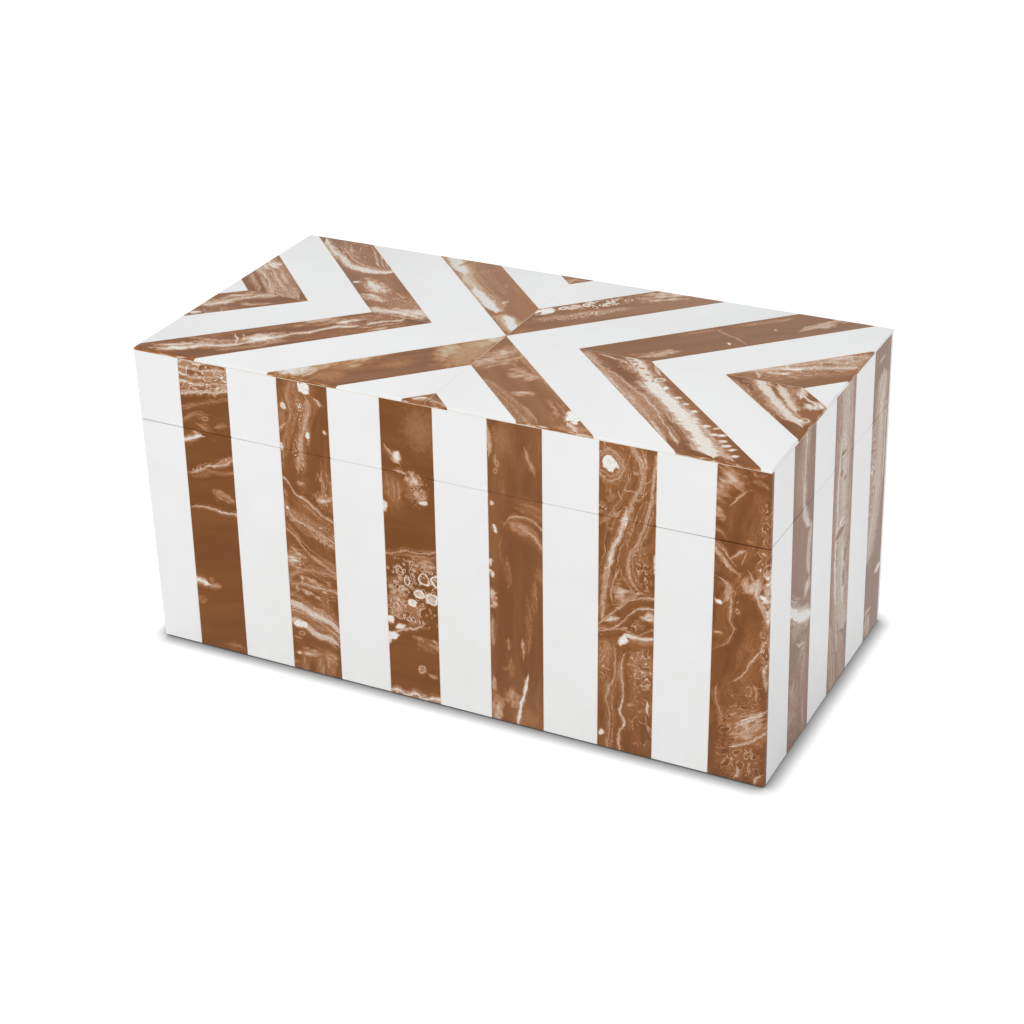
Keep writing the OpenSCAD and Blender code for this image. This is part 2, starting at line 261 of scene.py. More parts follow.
# ---- White strips on the walls --------------------------------------------------------------------
# Slats of white cast resin, 2.5 mm thick, glued upright round the carcass before the box was sawn
# through and then sanded and polished. Front and back slats cover the ends of the side ones, and
# their joints lean a little.

RESIN_T = 2.5
END_TRIM = 2.5
JOINT = 0.1
ARRIS = 0.1
CORNER_R = 0.45
TILE_T = 1.3  # thickness of the lid's tiles at their rim, down to the top of the slats
TILE_Z = BOX_H - TILE_T
TILE_GLUE = 0.25  # height of the glue line between the slats and the tiles
SWOLLEN = 0.14  # how far polishing has drawn each lip of the saw cut over it
CORE_D = BOX_D - 2 * RESIN_T
LEAF_T, LEAF_W = 1.8, 7.7
HINGE_X, HINGE_L = 95.0, 32.0
HINGES = {"left": -HINGE_X, "right": HINGE_X}
# number of slats, width, middle joint, lean, distance of the face, quarter turns from the front, gape
# of the saw cut at the left and at the right end
WALLS = {
    "front": (12, BOX_W, -1.2, 2.8, BOX_D / 2, 0, 0.35, 0.4),
    "right": (6, CORE_D, 1.0, -1.5, BOX_W / 2, 1, 0.4, 0.05),
    "back": (12, BOX_W, -1.2, 2.8, BOX_D / 2, 2, 0.05, 0.05),
    "left": (6, CORE_D, 1.0, -1.5, BOX_W / 2, 3, 0.05, 0.35),
}


def new_tree(name, kind, results, inputs):
    """A tree of nodes with named inputs and results, by kind. Returns it and what it is given."""
    tree = bpy.data.node_groups.new(name, kind)
    for in_out, sockets in (("OUTPUT", results), ("INPUT", inputs)):
        for socket, sort in sockets.items():
            tree.interface.new_socket(socket, in_out=in_out, socket_type="NodeSocket" + sort)
    given = tree.nodes.new("NodeGroupInput").outputs
    return tree, {socket: Wire(given[socket]) for socket in inputs}


def ended(tree, *results):
    """The tree, once these are what comes out of it."""
    put(tree, "NodeGroupOutput", enumerate(results))
    return tree


def joined(*parts):
    """A vector of three parts."""
    tree = next(part.tree for part in parts if isinstance(part, Wire))
    return out(tree, "ShaderNodeCombineXYZ", enumerate(parts))


def most(a, *others):
    """The greatest of some values."""
    for b in others:
        a = reckon("MAXIMUM", a, b)
    return a


def slat_row_tree():
    """Geometry Nodes that lay slats side by side, from the first, every so many, facing the front."""
    tree, given = new_tree("Slat row", "GeometryNodeTree", {"Geometry": "Geometry"}, {
        **dict.fromkeys(("First", "Every", "Slats"), "Int"),
        **dict.fromkeys(("Width", "Middle", "Trim", "Lean", "Face", "Low", "High", "Thickness", "Height",
                         "Joint", "Gape left", "Gape right"), "Float"),
        "Finish": "Material"})
    first, every, count, low = (given[name] for name in ("First", "Every", "Slats", "Low"))
    points = out(tree, "GeometryNodePoints", {"Count": math.ceil((count - first) / every)})
    number = first + every * out(tree, "GeometryNodeInputIndex")
    marked = out(tree, "GeometryNodeStoreNamedAttribute", {
        "Geometry": points, "Name": "slat", "Value": number}, data_type="FLOAT", domain="POINT")
    cube = out(tree, "GeometryNodeMeshCube", {"Size": (1, 1, 1)})
    laid = out(tree, "GeometryNodeInstanceOnPoints", {"Points": marked, "Instance": cube})
    real = out(tree, "GeometryNodeRealizeInstances", {0: laid})
    across, inward, upward = split(out(tree, "GeometryNodeInputPosition"))
    right_hand = across > 0.0
    joint = out(tree, "GeometryNodeInputNamedAttribute", {"Name": "slat"}, data_type="FLOAT") + right_hand
    z = low + (upward + 0.5) * (given["High"] - low)
    pitch = (given["Width"] + given["Trim"] * 2.0) / count
    x = given["Middle"] + (joint - count / 2.0) * pitch + given["Lean"] * (z / given["Height"] - 0.5)
    x = x - given["Joint"] * (right_hand - 0.5)
    # the outer edges of the end slats are upright and lie at the corners
    half = given["Width"] / 2.0
    at_left, at_right = joint < 0.5, joint > count - 0.5
    x = x * (1.0 - (at_left + at_right)) + half * (at_right - at_left)
    aside = x / half
    gape = given["Gape left"] * most(aside * -1.0, 0.0) ** 3.0 + given["Gape right"] * most(aside, 0.0) ** 3.0
    z = z + gape * (upward < 0.0)
    y = (inward + 0.5) * given["Thickness"] - given["Face"]
    moved = out(tree, "GeometryNodeSetPosition", {"Geometry": real, "Position": joined(x, y, z)})
    return ended(tree, out(tree, "GeometryNodeSetMaterial", {"Geometry": moved, "Material": given["Finish"]}))


def made_by(tree, inputs):
    """The plain mesh that a Geometry Nodes tree makes from the inputs."""
    carrier = in_scene("carrier", bpy.data.meshes.new("carrier"))
    modifier = carrier.modifiers.new("Nodes", "NODES")
    modifier.node_group = tree
    for item in tree.interface.items_tree:
        if item.item_type == "SOCKET" and item.in_out == "INPUT":
            modifier[item.identifier] = inputs[item.name]
    graph = bpy.context.evaluated_depsgraph_get()
    mesh = bpy.data.meshes.new_from_object(carrier.evaluated_get(graph))
    bpy.data.objects.remove(carrier)
    return mesh


def as_mesh(shape):
    """A plain mesh of a bmesh, which is used up."""
    mesh = bpy.data.meshes.new("shape")
    shape.to_mesh(mesh)
    shape.free()
    return mesh


def as_shape(mesh):
    """A bmesh of a plain mesh."""
    shape = bmesh.new()
    shape.from_mesh(mesh)
    return shape


def hinge_housings():
    """The two blocks of space let into the back of the box for the hinge leaves."""
    space = bmesh.new()
    for x in HINGES.values():
        block(space, (x - HINGE_L / 2, BOX_D / 2 - LEAF_W, BASE_TOP - LEAF_T),
              (x + HINGE_L / 2, BOX_D / 2 + 1, LID_LOW + LEAF_T))
    return as_mesh(space)


def cut_out(mesh, waste):
    """mesh less the waste, both in the same unit."""
    body, tool = in_scene("body", mesh), in_scene("tool", waste)
    cut = body.modifiers.new("Cut", "BOOLEAN")
    cut.operation, cut.solver, cut.object = "DIFFERENCE", "EXACT", tool
    done = bpy.data.meshes.new_from_object(body.evaluated_get(bpy.context.evaluated_depsgraph_get()))
    for o in (body, tool):
        bpy.data.objects.remove(o)
    return done


def sharp_edges(shape, angle):
    """The edges of a shape where its faces turn by more than an angle."""
    return [e for e in shape.edges if e.is_manifold and e.calc_face_angle() > math.radians(angle)]


slat_row = slat_row_tree()


def slats(wall, tier, first, every, material):
    """Slats of a wall, in the base or in the lid, as a bmesh in millimetres with eased edges."""
    count, width, middle, lean, face, turns, *gapes = WALLS[wall]
    low, high = (FELT_T, BASE_TOP + SWOLLEN) if tier == "base" else (LID_LOW - SWOLLEN, TILE_Z - TILE_GLUE)
    gape_left, gape_right = (0.0, 0.0) if tier == "base" else gapes
    mesh = made_by(slat_row, {
        "First": first, "Every": every, "Slats": count, "Width": width, "Middle": middle, "Trim": END_TRIM,
        "Lean": lean, "Face": face, "Low": low, "High": high, "Thickness": RESIN_T, "Height": BOX_H,
        "Joint": JOINT, "Gape left": gape_left, "Gape right": gape_right, "Finish": material})
    mesh.transform(Matrix.Rotation(turns * math.pi / 2, 4, "Z"))
    if wall == "back":
        mesh = cut_out(mesh, hinge_housings())
    shape = as_shape(mesh)
    corners = [e for e in shape.edges if all(
        abs(abs(v.co.x) - BOX_W / 2) < NEAR and abs(abs(v.co.y) - BOX_D / 2) < NEAR for v in e.verts)]
    bmesh.ops.bevel(shape, geom=corners, offset=CORNER_R, segments=3, profile=0.5, affect="EDGES")
    bmesh.ops.bevel(shape, geom=sharp_edges(shape, 60), offset=ARRIS, segments=1, affect="EDGES")
    return shape


white_resin, shader = new_finish("White cast resin", 0.2)
spot = in_mm(shader)
haze = eased(grains(spot, 0.035, 3, 0.6, 5.0), 0.35, 0.65)
specks = eased(grains(spot, 1.4, 2, 0.5, 9.0), 0.8, 0.86, 0, 0.35)
colour = blend(specks, blend(haze, tint(236, 236, 234), tint(238, 238, 237)), tint(196, 190, 182))
polish = eased(grains(spot, 0.25, 4, 0.6, 11.0), 0.3, 0.7, 0.17, 0.24)
fed(shader, {"Base Color": colour, "Roughness": polish})
bumped(shader, grains(spot, 0.05, 1, 0.4, 13.0), 0.06, 0.0005)

for wall in WALLS:
    for tier in ("base", "lid"):
        mesh_piece(f"{tier}_{wall}_white_slats", slats(wall, tier, 0, 2, white_resin), white_resin, tier,
                   [f"{tier}_{wall}_white_strips"])

# ---- Brown strips on the walls --------------------------------------------------------------------
# Slats of marbled brown resin between the white ones: chestnut brown poured with cream and white,
# which lie in it as veins, lace, rings and clouds with amber rims. Each was glued on before the box
# was sawn, so its figure runs on from the lid into the base.

# rows of the turn from the box's axes to across, down and into a wall, and where its top left corner is
SHEETS = {
    "front": (((1, 0, 0), (0, 0, -1), (0, 1, 0)), (BOX_W / 2, BOX_H, 0)),
    "right": (((0, 1, 0), (0, 0, -1), (-1, 0, 0)), (BOX_D / 2, BOX_H, 0)),
    "back": (((-1, 0, 0), (0, 0, -1), (0, -1, 0)), (BOX_W / 2, BOX_H, 0)),
    "left": (((0, -1, 0), (0, 0, -1), (1, 0, 0)), (BOX_D / 2, BOX_H, 0)),
    "top": (((1, 0, 0), (0, -1, 0), (0, 0, -1)), (BOX_W / 2, BOX_D / 2, 0)),
}


def tints(*colours):
    return tuple(tint(*colour) for colour in colours)


CHESTNUT = tints((122, 74, 34), (138, 85, 41), (157, 102, 57))
# from the brown to the thickest cream: through amber, or through a grey mother-of-pearl
AMBER = tints((138, 83, 42), (158, 104, 63), (181, 137, 104), (202, 170, 146), (218, 201, 184),
              (231, 223, 213), (238, 236, 232))
PEARLY = tints((136, 86, 50), (152, 108, 76), (171, 138, 112), (189, 167, 147), (203, 191, 180),
               (220, 215, 208), (232, 231, 229))
CREAM_STEPS = (0.13, 0.28, 0.45, 0.63, 0.82)  # how much cream the tones between them stand for
# the lighter golden brown on a tile's rim, where it was rounded off across its figure: partly that cut,
# partly painted light, as though the rim caught more light than the faces
RIM_TINTS_WITH_PAINTED_LIGHT = tints((140, 84, 42), (176, 114, 64))


def least(a, b):
    return reckon("MINIMUM", a, b)


def fraction(a):
    return reckon("FRACT", a)


def scaled(a, by, more, clamp=False):
    """a times by, and more."""
    if isinstance(a, Wire) or isinstance(by, Wire) or isinstance(more, Wire):
        return reckon("MULTIPLY_ADD", a, by, more, clamp=clamp)
    return min(1.0, max(0.0, a * by + more)) if clamp else a * by + more


def turned(where, angle):
    values = {"Vector": where, "Angle": angle}
    return out(where.tree, "ShaderNodeVectorRotate", values, rotation_type="Z_AXIS")


def mixed(share, a, b):
    """Number a where the share is 0, and b where it is 1."""
    tree = next(v.tree for v in (share, a, b) if isinstance(v, Wire))
    return out(tree, "ShaderNodeMix", {0: share, 2: a, 3: b}, data_type="FLOAT")


def motif_tree(name, *results, **inputs):
    """A tree for one part of a figure, its results numbers, and what it is given."""
    return new_tree(name, "ShaderNodeTree", dict.fromkeys(results, "Float"), inputs)


def spot_tree():
    """How far a point is inside a soft ellipse: 1 in the middle, 0 outside."""
    tree, given = motif_tree("Spot", "Inside", Vector="Vector", Centre="Vector", Size="Vector", Turn="Float",
                             Soft="Float", Uneven="Float")
    flat = (given["Vector"] - given["Centre"]) * (1, 1, 0)
    span = turned(flat, given["Turn"]) / given["Size"]
    away = out(tree, "ShaderNodeVectorMath", {0: span}, "Value", operation="LENGTH") + given["Uneven"]
    return ended(tree, eased(away, 1.0 + given["Soft"], 1.0 - given["Soft"]))


spot_group = spot_tree()
# what every motif within an ellipse is given: the cream under it, the place, blots, and the ellipse
PLACE = {"Under": "Float", "Where": "Vector", "Fine": "Float", "Centre": "Vector", "Size": "Vector",
         "Turn": "Float", "Soft": "Float", "White": "Float"}


def inside(given, grow=0.0, size=None, uneven=1.6):
    """How far a point is inside the ellipse of a motif, or inside one that is larger or of another size."""
    if size is None:
        size = given["Size"] + (grow, grow, 0) if grow else given["Size"]
    values = {"Vector": given["Where"], "Centre": given["Centre"], "Size": size, "Turn": given["Turn"],
              "Soft": given["Soft"], "Uneven": scaled(given["Fine"], uneven, -0.5 * uneven)}
    return out(size.tree, "ShaderNodeGroup", values, node_tree=spot_group)


def drop_tree():
    """A drop of white with a clear edge and an amber rim."""
    tree, given = motif_tree("Drop", "Cream", **PLACE, Broken="Float")
    core = inside(given) * given["White"] * eased(given["Fine"], 0.62, 0.42, 1.0 - given["Broken"], 1.0)
    return ended(tree, most(given["Under"], core, inside(given, 0.8) * 0.16))


def cloud_tree():
    """A soft cloud of wisps that run along it."""
    tree, given = motif_tree("Cloud", "Cream", **PLACE, Way="Float", Seed="Float", Thick="Float")
    wisp = grains(turned(given["Where"], given["Way"]) * (0.3, 1, 1), 0.36, 2.5, 0.55, given["Seed"])
    shown = eased(wisp, 0.46 - given["Thick"], 0.78 - given["Thick"], 0.12, 1)
    return ended(tree, most(given["Under"], inside(given) * given["White"] * shown))


def lace_tree():
    """Fine lines that wind round the rises of a stretched noise, as colours do that were poured together."""
    tree, given = motif_tree("Lace", "Cream", **PLACE, Way="Float", Seed="Float", Scale="Float",
                             Stretch="Float", Lines="Float", Thin="Float")
    stretched = turned(given["Where"], given["Way"]) * joined(1.0 / given["Stretch"], 1.0, 0.5)
    rise = grains(stretched, given["Scale"], 2.2, 0.45, given["Seed"])
    away = abs(fraction(rise * given["Lines"]) - 0.5) * 2.0
    line = eased(away, 0.0, given["Thin"], 1, 0) * eased(given["Fine"], 0.3, 0.66, 0.25, 1)
    bands = eased(fraction(scaled(rise, given["Lines"] * 0.5, 0.3)), 0.1, 0.9, 0.04, 0.26)
    return ended(tree, most(given["Under"], most(line, bands) * (inside(given) * given["White"])))


def loop_tree():
    """One ring, and how white it is within."""
    tree, given = motif_tree("Loop", "Cream", **PLACE, Within="Float", Thin="Float")
    outer = inside(given, uneven=0.9)
    share = 1.0 - given["Thin"]
    shrunk = given["Size"] * joined(share, share, 1.0) - (0.2, 0.2, 0)
    edge = reckon("SUBTRACT", outer, inside(given, size=shrunk, uneven=0.9), clamp=True)
    cream = most(edge * given["White"], outer * given["Within"]) * eased(given["Fine"], 0.3, 0.6, 0.6, 1)
    return ended(tree, most(given["Under"], cream, inside(given, 0.7, uneven=0.9) * 0.12))


def rings_tree():
    """Scattered rings and filled drops of uneven size."""
    tree, given = motif_tree("Rings", "Cream", **PLACE, Seed="Float", Scale="Float", Thin="Float")
    drops = put(tree, "ShaderNodeTexVoronoi", {"Vector": given["Where"] + given["Seed"],
                                               "Scale": given["Scale"]}, voronoi_dimensions="2D").outputs
    away = Wire(drops["Distance"])
    chance, other_chance, _ = split(Wire(drops["Color"]))
    reach = eased(chance, 0, 1, 0.12, 0.42)
    ring = eased(abs(away - reach), 0.0, given["Thin"], 1, 0)
    full = eased(away, 0.0, reach, 1, 0.3) * (other_chance > 0.72)
    return ended(tree, most(given["Under"], most(ring, full) * (inside(given) * given["White"])))


def vein_tree():
    """A vein along a course: its solid core, the pearly strands about it, and the flow bent beside it."""
    tree, given = motif_tree("Vein", "Solid", "Pearl", "Flow", "Level", **dict.fromkeys((
        "Solid", "Pearl", "Flow", "Level", "Along", "Across", "Course", "Low", "Reach", "Start", "End",
        "Wide", "White", "Broken", "Body", "Streaks", "Middle", "Lies", "Ragged", "Edge"), "Float"))
    along, start, end, body, edge = (given[name] for name in ("Along", "Start", "End", "Body", "Edge"))
    off = given["Across"] - scaled(given["Course"], given["Reach"], given["Low"])
    gap = abs(off)
    left = least(along - start, end - along)
    within = left > -0.3
    taper = eased(left, -0.3, least(5.0, (end - start) * 0.35), 0.05, 1.0)
    apart = gap / (given["Wide"] * taper) + given["Ragged"]
    white = given["White"] * within
    solid = eased(apart, edge, scaled(edge, -0.3, 1.24), white, 0) * (1.0 - given["Broken"])
    pearl = eased(apart, 0.6, 2.3, white, 0)
    beside = eased(gap / (body * taper), 0.3, 1.4, given["Streaks"], 0) * within
    near = eased(gap, scaled(body, 0.5, 1.0), scaled(body, 1.4, 5.0), 1, 0) * eased(left, -3, 4)
    flow = mixed(near, given["Flow"], off + given["Middle"])
    return ended(tree, most(given["Solid"], solid), most(given["Pearl"], most(pearl, beside)), flow,
                 mixed(near, given["Level"], given["Lies"]))


def flow_tree():
    """The strands and fine lines of the flow, from how far across and along it a point is."""
    tree, given = motif_tree("Flow", "Strand", "Line", "Broad", Across="Float", Along="Float", Seed="Float")
    where = joined(given["Across"], given["Along"] * 0.13, 0.0)
    strand = grains(where, 0.5, 4, 0.6, given["Seed"])
    broad = grains(where, 0.13, 1.5, 0.5, given["Seed"] + 1.0)
    wide_apart, close = (abs(fraction(strand * number) - 0.5) for number in (9.0, 23.0))
    line = most(eased(wide_apart, 0.0, 0.12, 1, 0), eased(close, 0.0, 0.22, 0.6, 0))
    return ended(tree, strand, line, broad)


drop_group, cloud_group, lace_group, loop_group = drop_tree(), cloud_tree(), lace_tree(), loop_tree()
rings_group, vein_group, flow_group = rings_tree(), vein_tree(), flow_tree()


class Pour:
    """What the figure of a slat or tile is drawn with: tree, coordinates, and what is drawn so far."""

    def __init__(self, tree, sheet, seed, about, flow, middle):
        self.tree, self.seed, self.middle = tree, seed, middle
        rows, corner = SHEETS[sheet]
        self.flat = out(tree, "ShaderNodeMapping", {
            "Vector": out(tree, "ShaderNodeTexCoord", wanted="Object"), "Location": corner,
            "Rotation": Matrix(rows).to_euler(), "Scale": (1 / MM,) * 3})
        if about:
            self.flat = out(tree, "ShaderNodeMapping", {"Vector": self.flat, "Location": (*about, 0),
                                                        "Rotation": (0, 0, math.pi)})
        self.calm = self.pushed(self.flat, 0.11, 2.4, 1.0, seed)
        bent = self.bent = self.pushed(self.calm, 0.3, 1.9, 1.5, seed + 1)
        self.torn = self.pushed(bent, 1.0, 0.75, 2.5, seed + 2)
        self.x, self.y, _ = split(self.torn)
        self.fine = grains(self.calm, 1.1, 3, 0.65, seed + 3)
        self.blots = grains(bent, 0.42, 3, 0.5, seed + 9)
        self.teeth = {}
        # the flow of a part that lies more level than upright is measured down, of one that stands, across
        slope = math.tan(math.radians(flow))
        self.slopes = {True: slope if abs(flow) < 80 else 0.0, False: 1 / slope if abs(flow) > 10 else 0.0}
        self.solid, self.pearl, self.level = 0.0, 0.0, float(abs(flow) < 45)
        self.flow = {
            True: scaled(self.x, self.slopes[True], self.y - self.slopes[True] * middle[0]),
            False: scaled(self.y, self.slopes[False], self.x - self.slopes[False] * middle[1])}

    def pushed(self, where, scale, reach, detail, seed):
        """The place, pushed about by a noise."""
        push = grains(where, scale, detail, 0.6, seed, "Color")
        return scaled(push - (0.5, 0.5, 0.5), (reach, reach, 0), where)

    def tooth(self, way, amount):
        """Teeth that point that way along the edge of a vein."""
        if way not in self.teeth:
            along = turned(self.calm, math.radians(way)) * (0.24, 1, 1)
            self.teeth[way] = grains(along, 0.62, 2.5, 0.6, self.seed + 17)
        return scaled(self.teeth[way], amount, -0.5 * amount)

    def draw(self, group, at, size, turn, where, **inputs):
        """Draws a motif within an ellipse over what is drawn so far."""
        self.solid = out(self.tree, "ShaderNodeGroup", {
            "Under": self.solid, "Where": where, "Centre": (*at, 0), "Size": (*size, 1),
            "Turn": math.radians(turn), "Fine": self.blots, **inputs}, node_tree=group)


# Each of the motifs below is a function that draws it in a pour. Places are in millimetres across and
# down the sheet, angles in degrees from level, and white says how white the motif is.


def vein(wide, white, *points, broken=0.5, body=None, streaks=0.26, ragged=0.0, way=90, edge=0.3):
    """A vein through the points: half its width, how white it is, how far its core is only strands, the tan
    band about it, how streaky that is, and how far teeth that point that way make its edge ragged."""
    def drawn(pour):
        spans = [max(p[axis] for p in points) - min(p[axis] for p in points) for axis in (0, 1)]
        level = spans[0] > spans[1]
        line = sorted(points if level else [(y, x) for x, y in points])
        start, end = line[0][0], line[-1][0]
        low, high = min(b for _, b in line) - 1, max(b for _, b in line) + 1
        along, across = (pour.x, pour.y) if level else (pour.y, pour.x)
        course = put(pour.tree, "ShaderNodeFloatCurve", {1: eased(along, start, end, kind="LINEAR")})
        knots = course.mapping.curves[0].points
        for n, (a, b) in enumerate(line):
            at = ((a - start) / (end - start), (b - low) / (high - low))
            if n in (0, len(line) - 1):
                knots[0 if n == 0 else len(knots) - 1].location = at
            else:
                knots.new(*at)
        course.mapping.update()
        centre = sum(a for a, _ in line) / len(line) - pour.middle[0 if level else 1]
        node = put(pour.tree, "ShaderNodeGroup", {
            "Solid": pour.solid, "Pearl": pour.pearl, "Flow": pour.flow[level], "Level": pour.level,
            "Along": along, "Across": across, "Course": Wire(course.outputs[0]), "Low": low,
            "Reach": high - low, "Start": start, "End": end, "Wide": wide, "White": white, "Broken": broken,
            "Body": 1.2 + 2.4 * wide if body is None else body, "Streaks": streaks,
            "Middle": sum(b for _, b in line) / len(line) + pour.slopes[level] * centre,
            "Lies": float(level), "Ragged": pour.tooth(way, ragged) if ragged else 0.0, "Edge": edge,
        }, node_tree=vein_group)
        pour.solid, pour.pearl, pour.flow[level], pour.level = (Wire(node.outputs[n]) for n in range(4))
    return drawn


def drop(at, size, white=1.0, turn=0, soft=0.18, broken=0.15):
    return lambda pour: pour.draw(drop_group, at, size, turn, pour.torn, Soft=soft, White=white,
                                  Broken=broken)


def cloud(at, size, white=0.4, turn=0, soft=0.6, thick=0.06, way=None):
    """A soft cloud, how thick it is, and which way its wisps run."""
    return lambda pour: pour.draw(cloud_group, at, size, turn, pour.bent, Soft=soft, White=white, Thick=thick,
                                  Way=math.radians(turn if way is None else way), Seed=pour.seed + at[1])


def lace(at, size, white=0.6, turn=0, grain=0, scale=0.16, stretch=2.0, lines=5.0, fine=0.28, soft=0.45,
         seed=0.0):
    """A patch of fine lines that run the way of the grain."""
    return lambda pour: pour.draw(lace_group, at, size, turn, pour.torn, Soft=soft, White=white,
                                  Way=math.radians(grain), Scale=scale, Stretch=stretch, Lines=1.4 * lines,
                                  Thin=fine, Seed=pour.seed + at[1] + seed)


def rings(at, size, white=0.8, turn=0, scale=0.2, fine=0.1, soft=0.25):
    return lambda pour: pour.draw(rings_group, at, size, turn, pour.torn, Soft=soft, White=white, Scale=scale,
                                  Thin=fine, Seed=pour.seed)


def loop(at, size, white=0.8, turn=0, fine=0.22, full=0.0):
    return lambda pour: pour.draw(loop_group, at, size, turn, pour.torn, Soft=0.14, White=white, Within=full,
                                  Thin=fine)


def bare(at, size, turn=0, soft=0.3, full=1.0):
    """A spot where what is drawn so far gives way to plain brown."""
    def drawn(pour):
        spot = out(pour.tree, "ShaderNodeGroup", {
            "Vector": pour.torn, "Centre": (*at, 0), "Size": (*size, 1), "Turn": math.radians(turn),
            "Soft": soft, "Uneven": scaled(pour.blots, 1.2, -0.6)}, node_tree=spot_group)
        kept = scaled(spot, -full, 1.0)
        pour.solid, pour.pearl = pour.solid * kept, pour.pearl * kept
    return drawn


def marbled(name, sheet, seed, figure, tone, flow, wisps, middle, about=None, cream_tones=AMBER):
    """The material of one slat or tile: its figure, and a ground of three tones that flows one way and
    round the veins. about turns the figure half round."""
    material, shader = new_finish(name, 0.2)
    pour = Pour(shader.id_data, sheet, seed, about, flow, middle)
    for part in figure:
        part(pour)
    ways = [put(pour.tree, "ShaderNodeGroup", {
        "Across": pour.flow[level], "Along": pour.x if level else pour.y, "Seed": seed + 4 + level,
    }, node_tree=flow_group).outputs for level in (False, True)]
    strand, line, broad = (mixed(pour.level, Wire(ways[0][n]), Wire(ways[1][n])) for n in range(3))
    strand = eased(strand, 0.38, 0.64)
    line = line * eased(pour.fine, 0.35, 0.6, 0.3, 1)
    ground = blend(eased(broad, 0.36, 0.64, 0, min(1.0, 0.35 + 2 * wisps)), tone[0], tone[1])
    lively = scaled(pour.pearl, 1.6, min(1.0, 1.8 * wisps), clamp=True)
    ground = blend(strand * lively * eased(broad, 0.36, 0.6, 0.2, 0.8), ground, tone[2])
    threads = scaled(line, 0.82, strand * 0.36)
    whisper = threads * eased(broad, 0.44, 0.64, 0.1, 1) * wisps
    pearl = pour.pearl * scaled(threads, 1.15, 0.12)
    solid = pour.solid * eased(pour.fine, 0.36, 0.52, 0.86, 1.02)
    cream = most(solid, pearl, whisper)
    # on a tile, its rim from just below the top face down takes lighter golden tints and paler streaks:
    # partly its figure cut across, partly painted light on the rounded edge and side
    if sheet == "top":
        rim = eased(split(pour.flat)[2] + BOX_H, 0.06, 0.34)
        streak = grains(pour.flat * (0.16, 0.16, 1.3), 1.0, 3, 0.6, seed + 21)
        ground = blend(rim, ground, blend(eased(streak, 0.4, 0.58), *RIM_TINTS_WITH_PAINTED_LIGHT))
        cream = mixed(rim, cream, most(cream * 0.5, eased(streak, 0.5, 0.64, 0, 0.6)))
    poured = put(pour.tree, "ShaderNodeValToRGB", {0: cream})
    ramp = poured.color_ramp.elements
    ramp[0].color, ramp[1].color = cream_tones[0], cream_tones[-1]
    for position, colour in zip(CREAM_STEPS, cream_tones[1:-1]):
        ramp.new(position).color = colour
    fed(shader, {"Base Color": blend(eased(cream, 0.01, 0.2), ground, Wire(poured.outputs[0])),
                 "Roughness": eased(cream + pour.fine, 0.3, 1.6, 0.16, 0.28)})
    bumped(shader, grains(pour.flat, 0.05, 1, 0.4, 13.0), 0.05, 0.0005)
    return material


def joint_at(wall, number):
    """How far right of the middle of a wall a joint of two slats is at half height, or an end of the wall."""
    count, width, middle = WALLS[wall][:3]
    if number in (0, count):
        return math.copysign(width / 2, number - 0.5)
    return middle + (number - count / 2) * (width + 2 * END_TRIM) / count


def middle_of(wall, number):
    """Distance of the middle of a slat from the left end of a wall of the box, seen from outside."""
    half = (BOX_W if WALLS[wall][1] == BOX_W else BOX_D) / 2
    return (joint_at(wall, number) + joint_at(wall, number + 1)) / 2 + half


